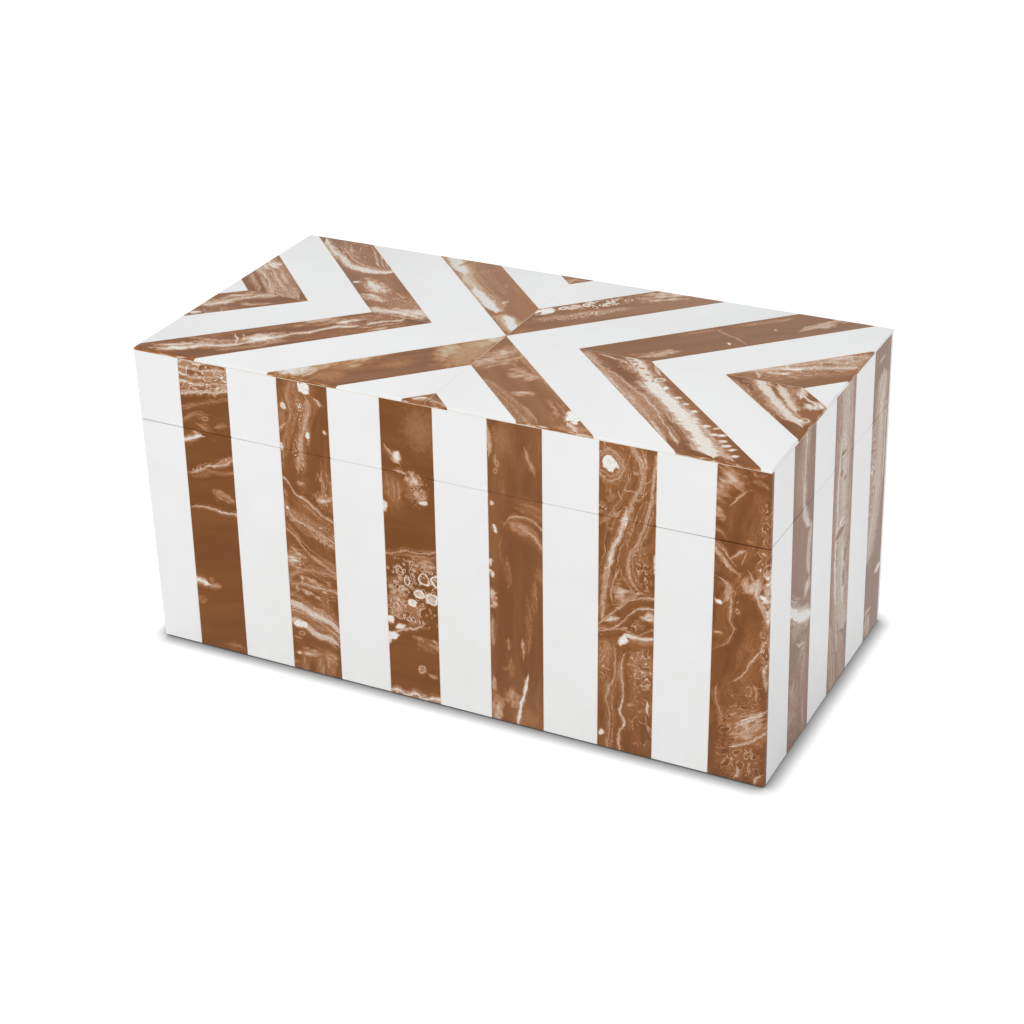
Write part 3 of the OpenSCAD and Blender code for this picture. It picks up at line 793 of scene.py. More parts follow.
# the motifs of each brown slat, in the order in which they are drawn
FRONT_FIGURES = {1: [
    *[vein(0.45, 0.8, (17, y + 2), (26, y + 0.4), (34, y + 0.8), (43, y - 1), (57, y - 2), body=2,
        streaks=0.4, ragged=1.4) for y in (1.6, 5, 8.4, 11.6)],
    lace((36, 8), (18, 9), 0.9, 8, 8, 0.34, 2, 3.4, 0.42, 0.2),
    vein(0.7, 0.9, (20, 19), (25, 18), (30, 17), (34, 16.5), (40, 15.5), (49, 13), (54, 11)),
    cloud((27, 3), (5, 2), 0.8), cloud((45, 12), (4, 3), 0.6), cloud((44, 3), (5, 2), 0.5),
    vein(0.35, 0.35, (20, 26), (28, 24), (34, 22), (42, 19), (52, 16)),
    vein(0.5, 0.35, (20, 36), (25, 31), (30, 28.5), (38, 27)), loop((35.5, 29.5), (1.6, 1.2), 0.4),
    vein(0.35, 0.4, (40, 33), (44, 31.5), (48, 31)), cloud((31, 33), (9, 5), 0.3, -20),
    vein(1.1, 0.95, (19, 42), (24, 41.3), (28, 39.8), (31, 38.6), (34.5, 38.2), broken=0.2),
    drop((29.5, 37.3), (1.5, 0.8), 0.4, -30),
    lace((38, 51.5), (14, 1.9), 0.9, 25, 25, 0.3, 3, 6, 0.45, 0.4),
    vein(0.55, 0.75, (24, 58), (31, 55.5), (36, 53), (42, 51), (47, 48.5), (53, 44)),
    vein(0.3, 0.3, (22, 59.5), (34, 57), (44, 55), (52, 53)), cloud((43, 68), (6, 3), 0.55, -8),
    vein(0.45, 0.75, (22, 76.5), (36, 74.5), (40, 75.6), (45, 75.4), (53, 73)),
    vein(1.3, 1, (18, 115.5), (22, 114.8), (26, 115.2), (29.5, 116), broken=0.2),
    vein(0.8, 0.4, (26, 115.6), (31, 116.2), (36, 116)), drop((30, 113), (0.8, 0.6), 0.2),
    vein(0.5, 0.28, (20, 125), (24, 125.4), (27, 124.6)),
    vein(0.4, 0.3, (33, 147.3), (40, 146.6), (47, 149)),
], 3: [
    drop((89, 4), (3.1, 2.7), 1), vein(0.8, 0.85, (93, 7.4), (95.3, 8.6), (96.8, 11.8)),
    vein(0.7, 0.4, (83, 0), (80.6, 8), (81.6, 17), (79, 24), (76.5, 33), (76, 42)),
    vein(1.2, 0.62, (86, 7), (91, 11), (90.5, 15), (89, 20), (88, 24), (85.5, 30), (85, 34), (85.8, 37),
        (84, 41), (83, 47.5)), lace((87.5, 20), (3.5, 13), 0.75, 8, 90, 0.35, 1.5, 5, 0.4, 0.4),
    lace((84.5, 38), (3, 10), 0.7, 10, 90, 0.35, 1.5, 5, 0.4, 0.4), drop((89.7, 27), (1.1, 1.8), 0.9),
    drop((98.5, 24), (0.6, 1), 0.7), drop((77, 20.5), (1.6, 2.4), 0.2), drop((77.8, 15), (1.6, 1.2), 0.7),
    vein(0.6, 0.8, (73, 28), (76, 25), (79, 23)), drop((74.8, 34.5), (1, 1.8), 0.8),
    lace((97, 50), (5, 13), 0.42, 0, 88, 0.18, 5, 5, 0.4, 0.5), cloud((96, 58), (4, 3.5), 0.75, 20),
    cloud((84, 55), (2.2, 4), 0.8), lace((94, 59), (6, 3), 0.6, -30, -35, 0.3, 2, 5, 0.4),
    vein(0.5, 0.68, (71, 49), (77.5, 53), (79.5, 57), (85, 60), (91, 64), (103, 69.5)),
    vein(0.6, 0.7, (71, 62), (75, 65.5), (78, 70), (85, 73), (93, 76), (103, 80)),
    lace((93, 78), (7, 3), 0.8, -26, -26, 0.34, 1.6, 5, 0.45),
    lace((78, 70), (5, 2.6), 0.6, -30, -30, 0.3, 2, 5, 0.4), drop((75.8, 65.7), (0.9, 0.9), 0.9, 0, 0.2),
    vein(0.7, 0.55, (71, 73), (75, 77), (80, 81), (85, 87), (92, 91), (103, 96.5)),
    vein(0.4, 0.4, (71, 70), (78, 77), (85, 84), (92, 88), (103, 93)), cloud((78, 92), (5, 5.5), 1, 0, 0.4),
    lace((79, 91), (6, 7), 0.6, 0, -40, 0.3, 1.6, 5, 0.35),
    vein(1, 0.42, (71, 101.5), (80, 97.4), (86, 95.6), (93, 95.5), (103, 98.5)),
    lace((87, 105), (17, 8.5), 0.5, -4, -4, 0.085, 2.6, 9, 0.5, 0.3, 2),
    vein(0.5, 0.6, (71, 108), (80, 104), (90, 103.5), (103, 107)),
    vein(1.7, 0.86, (70, 116), (75, 115.6), (80, 116.5), (85, 119), (92, 121), (103, 129), broken=0.35),
    vein(0.5, 0.6, (70, 119), (80, 119.5), (88, 122.5), (103, 131)),
    vein(1.7, 0.85, (70, 124), (78, 124.4), (83, 127), (88, 129.4), (94, 130), (99, 134.5), broken=0.4),
    drop((78, 125.4), (3.4, 1.8), 0.95, 0, 0.4), loop((78.5, 130.2), (1.6, 1.2), 0.5),
    cloud((75, 132.5), (3, 1.6), 0.5), cloud((86, 141), (11, 3), 0.55, 0, 0.6),
    drop((76, 141.6), (1.4, 0.9), 0.75, 0, 0.5), cloud((75, 147), (3, 3), 0.4),
], 5: [
    # the faint pale lace and the faint drop at the top right of this slat are a painted sheen: a soft
    # reflection on the polish, drawn as fine upright streaks in its colour
    lace((145, 14), (8, 10), 0.2, 0, 100, 0.6, 3, 4, 0.9, 0.7), drop((146, 13), (8, 10), 0.12, 0, 0.8, 0.3),
    drop((134, 28.6), (2.2, 2.4), 0.85, -30, 0.5),
    vein(0.8, 0.7, (128, 23), (131, 27), (134.5, 30.5), (136, 33)),
    drop((141.5, 38), (3.4, 3), 0.6, 0, 0.6, 0.6), drop((144.5, 45), (3.2, 2.6), 0.42, 0, 0.6, 0.6),
    drop((146, 48.5), (2.4, 1), 0.75, 0, 0.5), lace((143, 43), (6, 8), 0.6, 0, 60, 0.3, 1.4, 5, 0.4, 0.4),
    vein(0.5, 0.7, (132, 35), (135, 35.4), (139, 36.6)), drop((126, 53.5), (1.8, 2.8), 0.8, 0, 0.45),
    drop((131, 45), (6, 9), 0.1, 0, 0.8, 0.4),
    *[vein(0.3, 0.5, (x, 39), (x + 0.6, 44), (x - 0.4, 50)) for x in (128.4, 131.6, 134)],
    vein(0.45, 0.62, (122, 77.5), (130, 76.4), (135, 74.6), (144, 73.6), (155, 70.5)),
    vein(0.3, 0.4, (133, 76.6), (140, 75.6), (147, 75), (155, 73.5)), cloud((146, 79), (8, 3.4), 0.5, 0),
    lace((145, 79.5), (9, 4), 0.55, 0, 0, 0.42, 1.2, 5, 0.35, 0.3), loop((144.4, 87), (2.8, 3), 0.92),
    loop((150.4, 86.6), (2.4, 2.8), 0.92), loop((148.2, 83), (1, 0.9), 0.7),
    loop((139.5, 86), (0.8, 1), 0.6), loop((132, 85), (1.9, 2.5), 0.6, 30),
    loop((135.6, 89.5), (1.6, 2.4), 0.85, 10), loop((132.7, 93.6), (1.5, 1.5), 0.8),
    loop((138, 92.5), (0.8, 1), 0.6), loop((141.6, 95.2), (2.6, 2.2), 1, 0, 0.3, 0.6),
    loop((147.8, 96), (3.5, 3), 1, 30, 0.3, 0.6), loop((138.2, 100.4), (2, 2.2), 1, 0, 0.4, 0.9),
    loop((138.7, 79.8), (1.5, 1.3), 0.5), rings((138, 90), (13, 12), 0.55, 0, 0.36, 0.12, 0.2),
    lace((138, 106), (14, 6), 0.75, 0, 60, 0.24, 1.3, 5, 0.4, 0.3),
    lace((130, 102), (4.5, 7), 0.9, 0, 80, 0.3, 1.5, 5, 0.5, 0.4), cloud((131, 100), (4, 6), 0.7),
    drop((125.5, 111), (3, 1.8), 0.95, 0, 0.4), drop((127.2, 119), (2.6, 2), 0.95, 0, 0.3),
    drop((131.5, 113.6), (3, 1.4), 0.85, 20, 0.5), drop((124.6, 121.5), (1.6, 2.6), 0.9, 0, 0.4),
    vein(0.5, 0.8, (122, 121), (130, 116.4), (135, 114.4), (139, 112.8), (145, 108)),
    cloud((145, 120), (6.5, 4), 0.62, -20), lace((145, 120.5), (6, 4), 0.5, 0, 20, 0.4, 1.2, 5, 0.35),
    cloud((141, 134.5), (2.4, 2.2), 0.7), loop((141, 134.5), (2.2, 2), 0.5),
    cloud((147, 137), (2.4, 2), 0.35),
    vein(0.9, 0.95, (123, 150.8), (128, 148.4), (132, 150.2), (137, 147.8), (142, 150), (147, 148.2),
        (153, 150.6), broken=0.3, body=3, streaks=0.5, ragged=1.6),
    lace((138, 149.6), (16, 2.4), 0.9, 0, 20, 0.4, 1.4, 4, 0.5, 0.4),
], 7: [
    vein(0.9, 0.7, (178.4, 3), (178.8, 9), (179.2, 14), (178.8, 20), ragged=1),
    loop((182.3, 21.5), (0.8, 1.3), 0.45), loop((181.5, 25.5), (1, 1.4), 0.4),
    vein(0.4, 0.5, (182.6, 17), (181.6, 21), (183, 25)), cloud((185, 32), (2, 4), 0.3, 0, 0.7, 0.06, 80),
    vein(0.9, 0.42, (196, 11), (198.4, 19), (200.6, 24.5)), cloud((203, 7), (2, 6), 0.22, 0, 0.7, 0.06, 80),
    drop((185, 10), (5, 8), 0.08, 0, 0.8),
    vein(0.5, 0.6, (184.5, 52), (186, 49), (188.2, 46.6), (191, 45.4), (197, 45), (202, 48), (207, 53),
        ragged=1), vein(0.4, 0.28, (190, 41), (198, 42), (207, 47)),
    vein(0.3, 0.22, (192, 38.6), (200, 39.6), (207, 43)),
    vein(0.8, 0.6, (187, 49.4), (191, 49.6), (195, 51), (199, 53), (202, 57), (206, 63), body=4,
        streaks=0.3, ragged=1.2), drop((192, 50.4), (6, 2.6), 0.26, -10, 0.8, 0.4),
    vein(0.4, 0.24, (184, 55), (182.6, 62), (184, 70), body=4, streaks=0.14),
    drop((179.4, 41), (0.9, 1.2), 0.6, 0, 0.5), drop((181, 53.2), (0.7, 1.9), 0.8, 15, 0.4),
    drop((178.2, 70), (1, 1.6), 0.7, 0, 0.5), drop((178.3, 75.5), (1.4, 1.6), 0.8, 0, 0.5, 0.4),
    drop((178.8, 88), (2, 4.4), 0.6, 0, 0.6, 0.6), drop((202, 72), (2.6, 3.4), 0.14, 0, 0.8),
    vein(0.4, 0.26, (186, 66), (186.6, 74), (185.6, 82)),
    vein(0.4, 0.32, (198.6, 74), (198.2, 84), (199, 93)),
    vein(0.35, 0.28, (195.4, 83), (195.8, 97), (194.8, 113)),
    vein(0.45, 0.6, (192.8, 105), (192.6, 110), (192.2, 117)), vein(0.4, 0.5, (185.4, 106), (185.2, 113)),
    vein(0.8, 0.5, (177.4, 96), (177.6, 112), ragged=2), vein(0.4, 0.4, (183, 124), (184.4, 120.6)),
    vein(0.4, 0.3, (186, 116), (186.6, 122), (185.6, 128)),
    vein(1, 0.5, (177.6, 128), (178, 136), ragged=2),
    vein(0.8, 0.95, (194.8, 122), (193.6, 128), (192.2, 134), (190.4, 141), (188.4, 153), broken=0.16,
        body=3, streaks=0.2, ragged=0.7), drop((186.6, 137), (3.6, 4.6), 0.34, 0, 0.7, 0.6),
    cloud((186.6, 137), (4, 5), 0.4, 0, 0.6, 0.1, 80), drop((178, 145), (3.4, 8), 0.3, 0, 0.7, 0.5),
    cloud((178, 145), (3.4, 8), 0.5, 0, 0.6, 0.12, 80), drop((194, 146), (8, 6), 0.08, 0, 0.8),
], 9: [
    drop((235.2, 11.4), (3.6, 3.6), 1, 0, 0.2), loop((234.8, 11.6), (5.4, 5.6), 0.5, 0, 0.1),
    loop((234.4, 11.8), (6.8, 7.4), 0.72, 0, 0.08), loop((234.8, 12.4), (8.2, 8.6), 0.4, 0, 0.07),
    drop((235, 27), (2.2, 1.1), 0.2, 30), lace((230.5, 32), (3, 3), 0.7, 0, 30, 0.3, 1.6, 5, 0.4),
    lace((245, 24), (12, 26), 0.42, -15, 74, 0.085, 5.5, 10, 0.3, 0.3, 3),
    lace((240, 50), (11, 20), 0.4, -15, 74, 0.09, 5.5, 10, 0.3, 0.3, 3),
    vein(1, 0.6, (243.6, -2), (246, 4), (249, 10), (249, 16), (246, 24), (243, 32), (240, 40), (237, 48),
        (234, 56), (232.6, 66), (231, 80), (230.4, 87)),
    vein(1.1, 0.9, (242.4, 30), (240.4, 38), (238, 46), (235, 54), (233.6, 61), broken=0.4),
    vein(0.35, 0.55, (247, -2), (250.6, 8), (250.4, 17), (247.4, 27)),
    vein(0.5, 0.4, (228, 42), (236, 33), (241, 23), (244.5, 13)),
    vein(0.7, 0.6, (256, 2), (254.6, 14), (253.6, 25), (251, 35), (247.4, 44), (243.6, 52), (242.6, 58),
        (244.6, 64.5), (248, 68.4), (258, 70.4)),
    vein(0.3, 0.45, (257.6, 12), (255, 24), (253, 34), (249.6, 43), (245.6, 51), (244.6, 57), (246.6, 63),
        (252, 67.4), (259, 68.4)), lace((249, 56), (4, 13), 0.6, 8, 80, 0.34, 1.8, 5, 0.4),
    drop((256.5, 54), (2, 6.6), 0.85, 0, 0.3, 0.35),
    vein(0.5, 0.6, (239, 58), (236.6, 65), (235, 71), (236, 77.6)),
    vein(0.5, 0.6, (236, 77.8), (240, 76.2), (244, 73), (249, 69.6)),
    vein(0.35, 0.5, (239, 58), (241, 64), (244.6, 69), (246, 72)), cloud((240, 70), (4, 6), 0.6, 10),
    lace((248, 74), (11, 6), 0.62, 22, 22, 0.12, 4, 10, 0.5, 0.3, 5),
    vein(0.6, 0.62, (227, 90.6), (233, 84), (238, 79), (242, 75.6), (248, 71.6), (258, 69.6)),
    vein(0.4, 0.7, (228, 93), (238, 87), (243, 80.6), (249, 76.8), (258, 75.6)),
    cloud((252.6, 79.6), (4.6, 3), 1, 10, 0.5),
    vein(1.1, 0.72, (232, 86.4), (235, 84.6), (239, 82.8), broken=0.3),
    lace((242, 87), (9, 3), 0.6, 20, 22, 0.3, 2, 5, 0.4),
    vein(0.35, 0.5, (227, 91), (233, 90), (240, 88.6), (246, 90), (252, 86), (258, 84)),
    vein(0.8, 0.9, (236.6, 97), (238.6, 93.4), (241.4, 91.4), (246, 91.4), (250, 91), (258, 87.4),
        broken=0.3), drop((240, 94), (2.2, 2.4), 1, -35, 0.45),
    vein(0.55, 0.5, (235.4, 96), (236.4, 104), (235, 114), (232.4, 124), (233.4, 134), (231.6, 153)),
    vein(0.3, 0.35, (239, 97), (238.4, 106), (236.4, 116), (234.6, 124), (235, 134), (233, 153)),
    vein(0.45, 0.72, (242, 99), (239.2, 110), (240.2, 120), (238.4, 129), (240.2, 136), (237.6, 142.6),
        (239.4, 153)), lace((249, 106), (7, 11), 0.7, 0, 70, 0.2, 1.8, 6, 0.36, 0.3),
    cloud((250, 108), (6, 9), 0.35), lace((231, 110), (3, 12), 0.5, 0, 80, 0.2, 2.2, 5, 0.35),
    vein(0.7, 0.92, (249.8, 121), (251.4, 123.4), (250.6, 126), (252, 129.4), broken=0.3),
    cloud((244.6, 127.4), (2.4, 4), 0.6, 20, 0.5),
    lace((249, 137), (7, 12), 0.4, 0, 110, 0.14, 3, 6, 0.3, 0.4), cloud((250, 124), (5, 6), 0.3),
    drop((229.5, 143), (1, 1.6), 0.8, 0, 0.5), lace((229.5, 92), (2.5, 3), 0.7, 0, 0, 0.3, 2, 5, 0.4),
], 11: [
    cloud((285, 6), (9, 8), 0.55, -30, 0.8, 0.1), cloud((283, 24), (2.6, 3), 0.7),
    cloud((284, 15), (4, 6), 0.35), vein(0.6, 0.72, (287, 19.6), (290.6, 16), (295.6, 11)),
    vein(0.35, 0.4, (296, 2), (300, 4), (303, 2.6)), vein(0.3, 0.3, (297, 6), (301, 7), (304, 9)),
    lace((303, 25), (3, 12), 0.55, 0, 85, 0.26, 1.6, 5, 0.4),
    vein(0.4, 0.5, (278, 30), (282, 31), (287, 34.6)),
    vein(1.3, 0.75, (278, 37), (282, 41), (285.4, 44.6), (289, 48), (292, 50.6), broken=0.6),
    vein(0.5, 0.6, (280, 38), (284, 39), (288.6, 43.6), (291, 47)),
    vein(0.8, 0.7, (288.6, 43.4), (291, 41), (294.6, 38.6)),
    vein(0.4, 0.5, (293, 45.6), (294.4, 42), (295.2, 38)),
    vein(1.3, 0.7, (279, 52), (284, 53.4), (287.4, 57), (287.6, 61), (285, 65.4), broken=0.6),
    drop((283.4, 64.6), (1.6, 0.9), 0.95, -20, 0.5),
    vein(0.5, 0.55, (289, 58), (288.6, 64), (288.4, 72), (290.2, 77), (289.6, 80)),
    vein(0.4, 0.55, (280, 88), (285, 85.4), (288.6, 81.6), (290, 77)), cloud((283, 79.6), (3, 1.6), 0.7),
    loop((291.6, 67), (1, 1.4), 0.45), lace((290, 60), (4, 10), 0.3, 0, 90, 0.24, 2, 5, 0.35),
    drop((306.6, 52), (3.2, 7), 0.85, 12, 0.5, 0.6), drop((304, 60), (2.4, 3), 0.7, 0, 0.6, 0.6),
    drop((305.6, 67), (2.4, 4), 0.85, 0, 0.5, 0.5), cloud((303, 56), (5, 13), 0.6, 70, 0.6),
    drop((302.4, 58.4), (1.6, 1), 0.9, 0, 0.4),
    vein(0.8, 0.65, (295.6, 47), (298, 51.6), (300, 58), (303, 65), (305, 73)),
    lace((302, 44), (4, 10), 0.6, 0, 75, 0.24, 1.6, 5, 0.4), cloud((297, 40), (4, 6), 0.3),
    lace((303.6, 82), (2.4, 14), 0.7, 0, 86, 0.3, 1.8, 5, 0.4),
    vein(0.6, 0.6, (305, 76), (302.4, 82), (300.6, 86)),
    vein(0.45, 0.7, (301.6, 83), (297.6, 91.6), (293.4, 98), (288, 103.4)),
    vein(0.7, 0.7, (306, 88), (304, 95), (305, 103)),
    vein(0.35, 0.5, (290, 108), (294, 110), (297.6, 106.6), (298, 101)),
    vein(0.4, 0.5, (297.6, 99), (300.6, 104), (301, 108.6), (305, 110)),
    vein(0.35, 0.45, (283, 104), (282.2, 111), (284.6, 118), (283.4, 126)),
    lace((299, 106), (6, 7), 0.45, 0, 60, 0.2, 1.4, 5, 0.3, 0.4),
    lace((296, 122), (12, 11), 0.66, 38, 38, 0.34, 3.4, 4, 0.44, 0.5, 1),
    vein(1.3, 0.9, (292, 123), (296, 119.6), (300.6, 116), (306, 111), broken=0.6),
    vein(0.6, 0.8, (288, 128), (293, 126.4), (298, 122.4), (303, 118)),
    vein(0.6, 0.8, (289, 134.4), (294, 132), (300, 128), (306, 122)), cloud((296, 122), (9, 9), 0.5, 30),
    lace((293, 140), (12, 10), 0.5, 0, 60, 0.26, 1.4, 4, 0.4, 0.5, 4),
    vein(0.5, 0.8, (290.6, 150), (293, 146), (292.6, 142.6)),
    vein(0.5, 0.7, (300, 150.6), (301.6, 146), (304, 144)),
]}
SIDE_FIGURES = {1: [
    vein(1.3, 0.85, (40, -3), (39.5, 8), (39, 18), (38.4, 28), (39.4, 36), body=6, streaks=0.4, ragged=1.2,
        way=40),
    vein(2.4, 0.8, (39, 33), (40.6, 39), (43.4, 43.6), (47, 47.4), (52, 49.4), broken=0.3, body=5,
        streaks=0.4, ragged=1.4, way=-60),
    vein(1.6, 0.72, (50, 46), (47.6, 54), (46.4, 64), (48, 72), broken=0.4, body=4, streaks=0.4,
        ragged=1.2), drop((33, 20), (5, 16), 0.16, 0, 0.8), vein(0.35, 0.7, (24, 72), (29, 75), (36, 79.4)),
    vein(0.3, 0.5, (26, 70), (32, 75), (40, 80)), drop((34, 92), (8, 4), 0.24, -32, 0.7),
    vein(3.4, 1, (22, 78), (28, 80.4), (34, 85), (42, 89.4), (53, 93), broken=0.06, body=6, streaks=0.5,
        ragged=0.9, way=-30, edge=0.5), cloud((46, 78), (4, 4), 0.8, 40),
    vein(0.8, 0.75, (34, 98), (38, 102), (43, 103.6), (48, 108), ragged=1.4, way=30),
    vein(0.6, 0.66, (40, 110), (44, 106), (47, 112), ragged=1.2),
    lace((42, 105), (8, 7), 0.6, 0, 30, 0.26, 1.6, 5, 0.4), drop((33, 130), (7, 16), 0.22, 0, 0.8, 0.4),
    cloud((31, 128), (5, 14), 0.4, 0, 0.7, 0.1, 80),
    vein(0.5, 0.35, (46, 108), (44.6, 124), (46, 152), body=5, streaks=0.3),
], 3: [
    vein(7.8, 0.58, (89.4, -4), (89.4, 10), (90, 24), (90.6, 42), (90.6, 60), (90.4, 80), (91.4, 100),
        (94, 114), (98, 126), broken=0.36, body=10, streaks=0.7, ragged=0.7, way=80),
    vein(3.2, 0.82, (90, 22), (90.4, 42), (90.8, 62), broken=0.35, ragged=1.4, way=70),
    vein(3, 0.8, (92, 76), (92.6, 92), (95, 112), broken=0.3, ragged=1.4, way=75),
    vein(1.2, 0.92, (87, 22), (84, 34), (83, 50), (83.6, 62), (82.4, 78), (83.4, 94), (86, 108),
        broken=0.2, ragged=1), vein(2.4, 0.5, (88, -3), (89, 10), (88, 22), broken=0.2, ragged=0.8),
    cloud((90, 66), (6, 3), 0.9, 0, 0.5, 0.1), bare((88.6, 32.6), (3.6, 1.1), -6),
    bare((86.8, 42), (1.6, 1.8)), bare((91.6, 46), (1.4, 1.3)), bare((88.4, 71.6), (6.4, 2), 6),
    bare((95.6, 69), (2, 1.1), 30),
    vein(0.6, 0.8, (81, 68.4), (86, 68.4), (92, 69.6), (99, 67), broken=0.2),
    vein(0.5, 0.7, (82, 74.4), (88, 74.6), (95, 72.4), (99, 70), broken=0.2), bare((96, 86), (1.6, 4)),
    bare((95, 98), (1.4, 5)),
    vein(0.8, 0.5, (77, 112), (80, 124), (84, 140), (85, 153), body=5, streaks=0.5, ragged=1),
    vein(0.9, 0.6, (87, 110), (88, 122), (92, 136), body=5, streaks=0.5, ragged=1.2),
    vein(1.2, 0.36, (92, 124), (95, 136), (97, 152), body=6, streaks=0.4),
], 5: [
    vein(5.8, 0.6, (140.6, 14), (139.6, 26), (139.8, 44), (140, 60), (139, 74), (136, 86), (131.6, 97),
        (127, 110), broken=0.34, body=9, streaks=0.7, ragged=0.8, way=75),
    vein(2.2, 0.8, (141, 22), (140, 38), (139, 54), broken=0.3, ragged=1.6, way=80),
    vein(1, 0.6, (146.4, 30), (146.4, 52), (146, 74), broken=0.2, body=4, streaks=0.5),
    lace((130, 64), (6, 28), 0.9, 0, 4, 0.3, 3.2, 5, 0.5, 0.3),
    lace((134, 96), (9, 14), 0.7, 0, 70, 0.3, 1.6, 5, 0.4, 0.4), drop((137, 8.6), (5, 0.9), 0.42, 0, 0.6),
    cloud((145, 119), (4.4, 1.6), 0.9, 10, 0.5, 0.2),
    vein(0.5, 0.62, (127, 137), (133, 136.2), (140, 137.4)),
    vein(1.3, 0.7, (134, 138), (135, 145), (132.6, 153), ragged=1.2, way=60),
    cloud((133, 144), (4, 6), 0.6, 0, 0.6, 0.1, 70),
]}
# three tones of the ground, which way it flows, in degrees from level, and how wispy it is
FRONT_POURS = {
    1: (CHESTNUT, 12, 0.06), 3: (tints((124, 76, 38), (140, 88, 48), (160, 106, 66)), 90, 0.6),
    5: (CHESTNUT, 3, 0.07), 7: (tints((126, 78, 44), (140, 91, 55), (156, 108, 72)), 90, 0.2),
    9: (tints((124, 76, 37), (140, 88, 47), (160, 106, 64)), 90, 0.45),
    11: (tints((120, 72, 36), (138, 85, 46), (157, 104, 64)), 80, 0.24),
}
SIDE_POUR = CHESTNUT, 90, 0.2
SLAT_MIDDLE = 75  # how far down a slat its flow is measured from
ONLY_FIRST = 99  # with slats laid every so many, only the first one comes


def brown_slats(number, resins):
    """The two lengths of the slat of that number on each of two walls."""
    for tier in ("base", "lid"):
        for wall, resin in resins.items():
            mesh_piece(f"{tier}_{wall}_brown_slat_{number // 2 + 1}",
                       slats(wall, tier, number, ONLY_FIRST, resin), resin, tier,
                       [f"{tier}_{wall}_brown_strips"])


# the back and the left wall are poured as the front and the right one, in another order and turned half round
for number, figure in FRONT_FIGURES.items():
    other = (number + 6) % 12
    turned_about = middle_of("back", number) + middle_of("front", other), BOX_H
    brown_slats(number, {
        "front": marbled(f"Marbled resin front {number // 2 + 1}", "front", 10.0 * number, figure,
                         *FRONT_POURS[number], (middle_of("front", number), SLAT_MIDDLE)),
        "back": marbled(f"Marbled resin back {number // 2 + 1}", "back", 10.0 * number + 5,
                        FRONT_FIGURES[other], *FRONT_POURS[other],
                        (middle_of("front", other), SLAT_MIDDLE), turned_about)})
for number, figure in SIDE_FIGURES.items():
    other = (number + 2) % 6
    turned_about = middle_of("left", number) + middle_of("right", other), BOX_H
    brown_slats(number, {
        "right": marbled(f"Marbled resin right {number // 2 + 1}", "right", 7.0 * number + 2, figure,
                         *SIDE_POUR, (0, 0), cream_tones=PEARLY),
        "left": marbled(f"Marbled resin left {number // 2 + 1}", "left", 7.0 * number + 5,
                        SIDE_FIGURES[other], *SIDE_POUR, (0, 0), turned_about, PEARLY)})

# ---- Joint lines on the walls ---------------------------------------------------------------------
# Cream filler that was wiped into every joint between two slats, and into the joint under the lid
# tiles, and sanded down with them. It lies a hair below the polished faces.

LINE_W, LINE_DEEP = 0.2, 0.05
FILLER_BACK = RESIN_T - 0.1  # how far below the face the filler reaches

filler, shader = new_finish("Cream joint filler", 0.6)
spot = in_mm(shader)
dirt = eased(grains(spot, 0.16, 4, 0.7, 21.0), 0.54, 0.7, 0, 0.6)
colour = blend(eased(grains(spot, 1.4, 2), 0.3, 0.7), tint(222, 203, 180), tint(238, 226, 210))
fed(shader, {"Base Color": blend(dirt, colour, tint(140, 104, 76))})


def sliver(shape, low_end, high_end, across, inner, outer):
    """A thin blade between two points, as wide as across, from inner to outer."""
    ends = [Vector(p) + Vector(across) * s + Vector(d)
            for p in (low_end, high_end) for d in (inner, outer) for s in (-0.5, 0.5)]
    verts = [shape.verts.new(p) for p in ends]
    for quad in ((0, 1, 3, 2), (4, 6, 7, 5), (0, 4, 5, 1), (2, 3, 7, 6), (0, 2, 6, 4), (1, 5, 7, 3)):
        shape.faces.new([verts[n] for n in quad])


def facing(shape, turns):
    """A shape made for the front, turned round the box to another wall."""
    bmesh.ops.rotate(shape, matrix=Matrix.Rotation(turns * math.pi / 2, 3, "Z"), verts=shape.verts)
    return shape


for tier, low, high in (("base", FELT_T, BASE_TOP), ("lid", LID_LOW + 0.5, TILE_Z)):
    lines = bmesh.new()
    for wall, (count, width, _, lean, face, turns, *_) in WALLS.items():
        wall_lines = bmesh.new()
        for n in range(1, count):
            ends = [(joint_at(wall, n) + lean * (z / BOX_H - 0.5), -face, z) for z in (low + 0.1, high - 0.1)]
            sliver(wall_lines, *ends, (LINE_W, 0, 0), (0, FILLER_BACK, 0), (0, LINE_DEEP, 0))
        if tier == "lid":
            half = width / 2 - (0.1 if width == BOX_W else 0.2)
            glue_z = TILE_Z - TILE_GLUE / 2
            sliver(wall_lines, (-half, -face, glue_z), (half, -face, glue_z), (0, 0, TILE_GLUE + 0.06),
                   (0, FILLER_BACK, 0), (0, LINE_DEEP + 0.02, 0))
        lines.from_mesh(as_mesh(facing(wall_lines, turns)))
    shape = as_shape(cut_out(as_mesh(lines), hinge_housings()))
    mesh_piece(f"{tier}_wall_joint_lines", shape, filler, tier)

# ---- Tiles on the lid -----------------------------------------------------------------------------
# Mitred white and brown tiles of cast resin, glued on the lid in four quarters, so that their joints
# draw chevrons and diamonds about a point near the middle. Their edges, 1.3 mm thick, show round the
# lid above the slats, and its outer arris is rounded off and polished.

PATTERN_AT = (-3.5, 0.8)
TIPS_LEFT, TIPS_RIGHT = (38, 69.8, 104, 137.6), (36, 71, 105.5, 141)
TIPS_FRONT, TIPS_BACK = (34.4, 66), (33.6, 65.8)
LID_ARRIS, ARRIS_STEPS = 0.8, 4
SHORTEST_SIDE = 0.05  # what is shorter is left out of a tile's outline
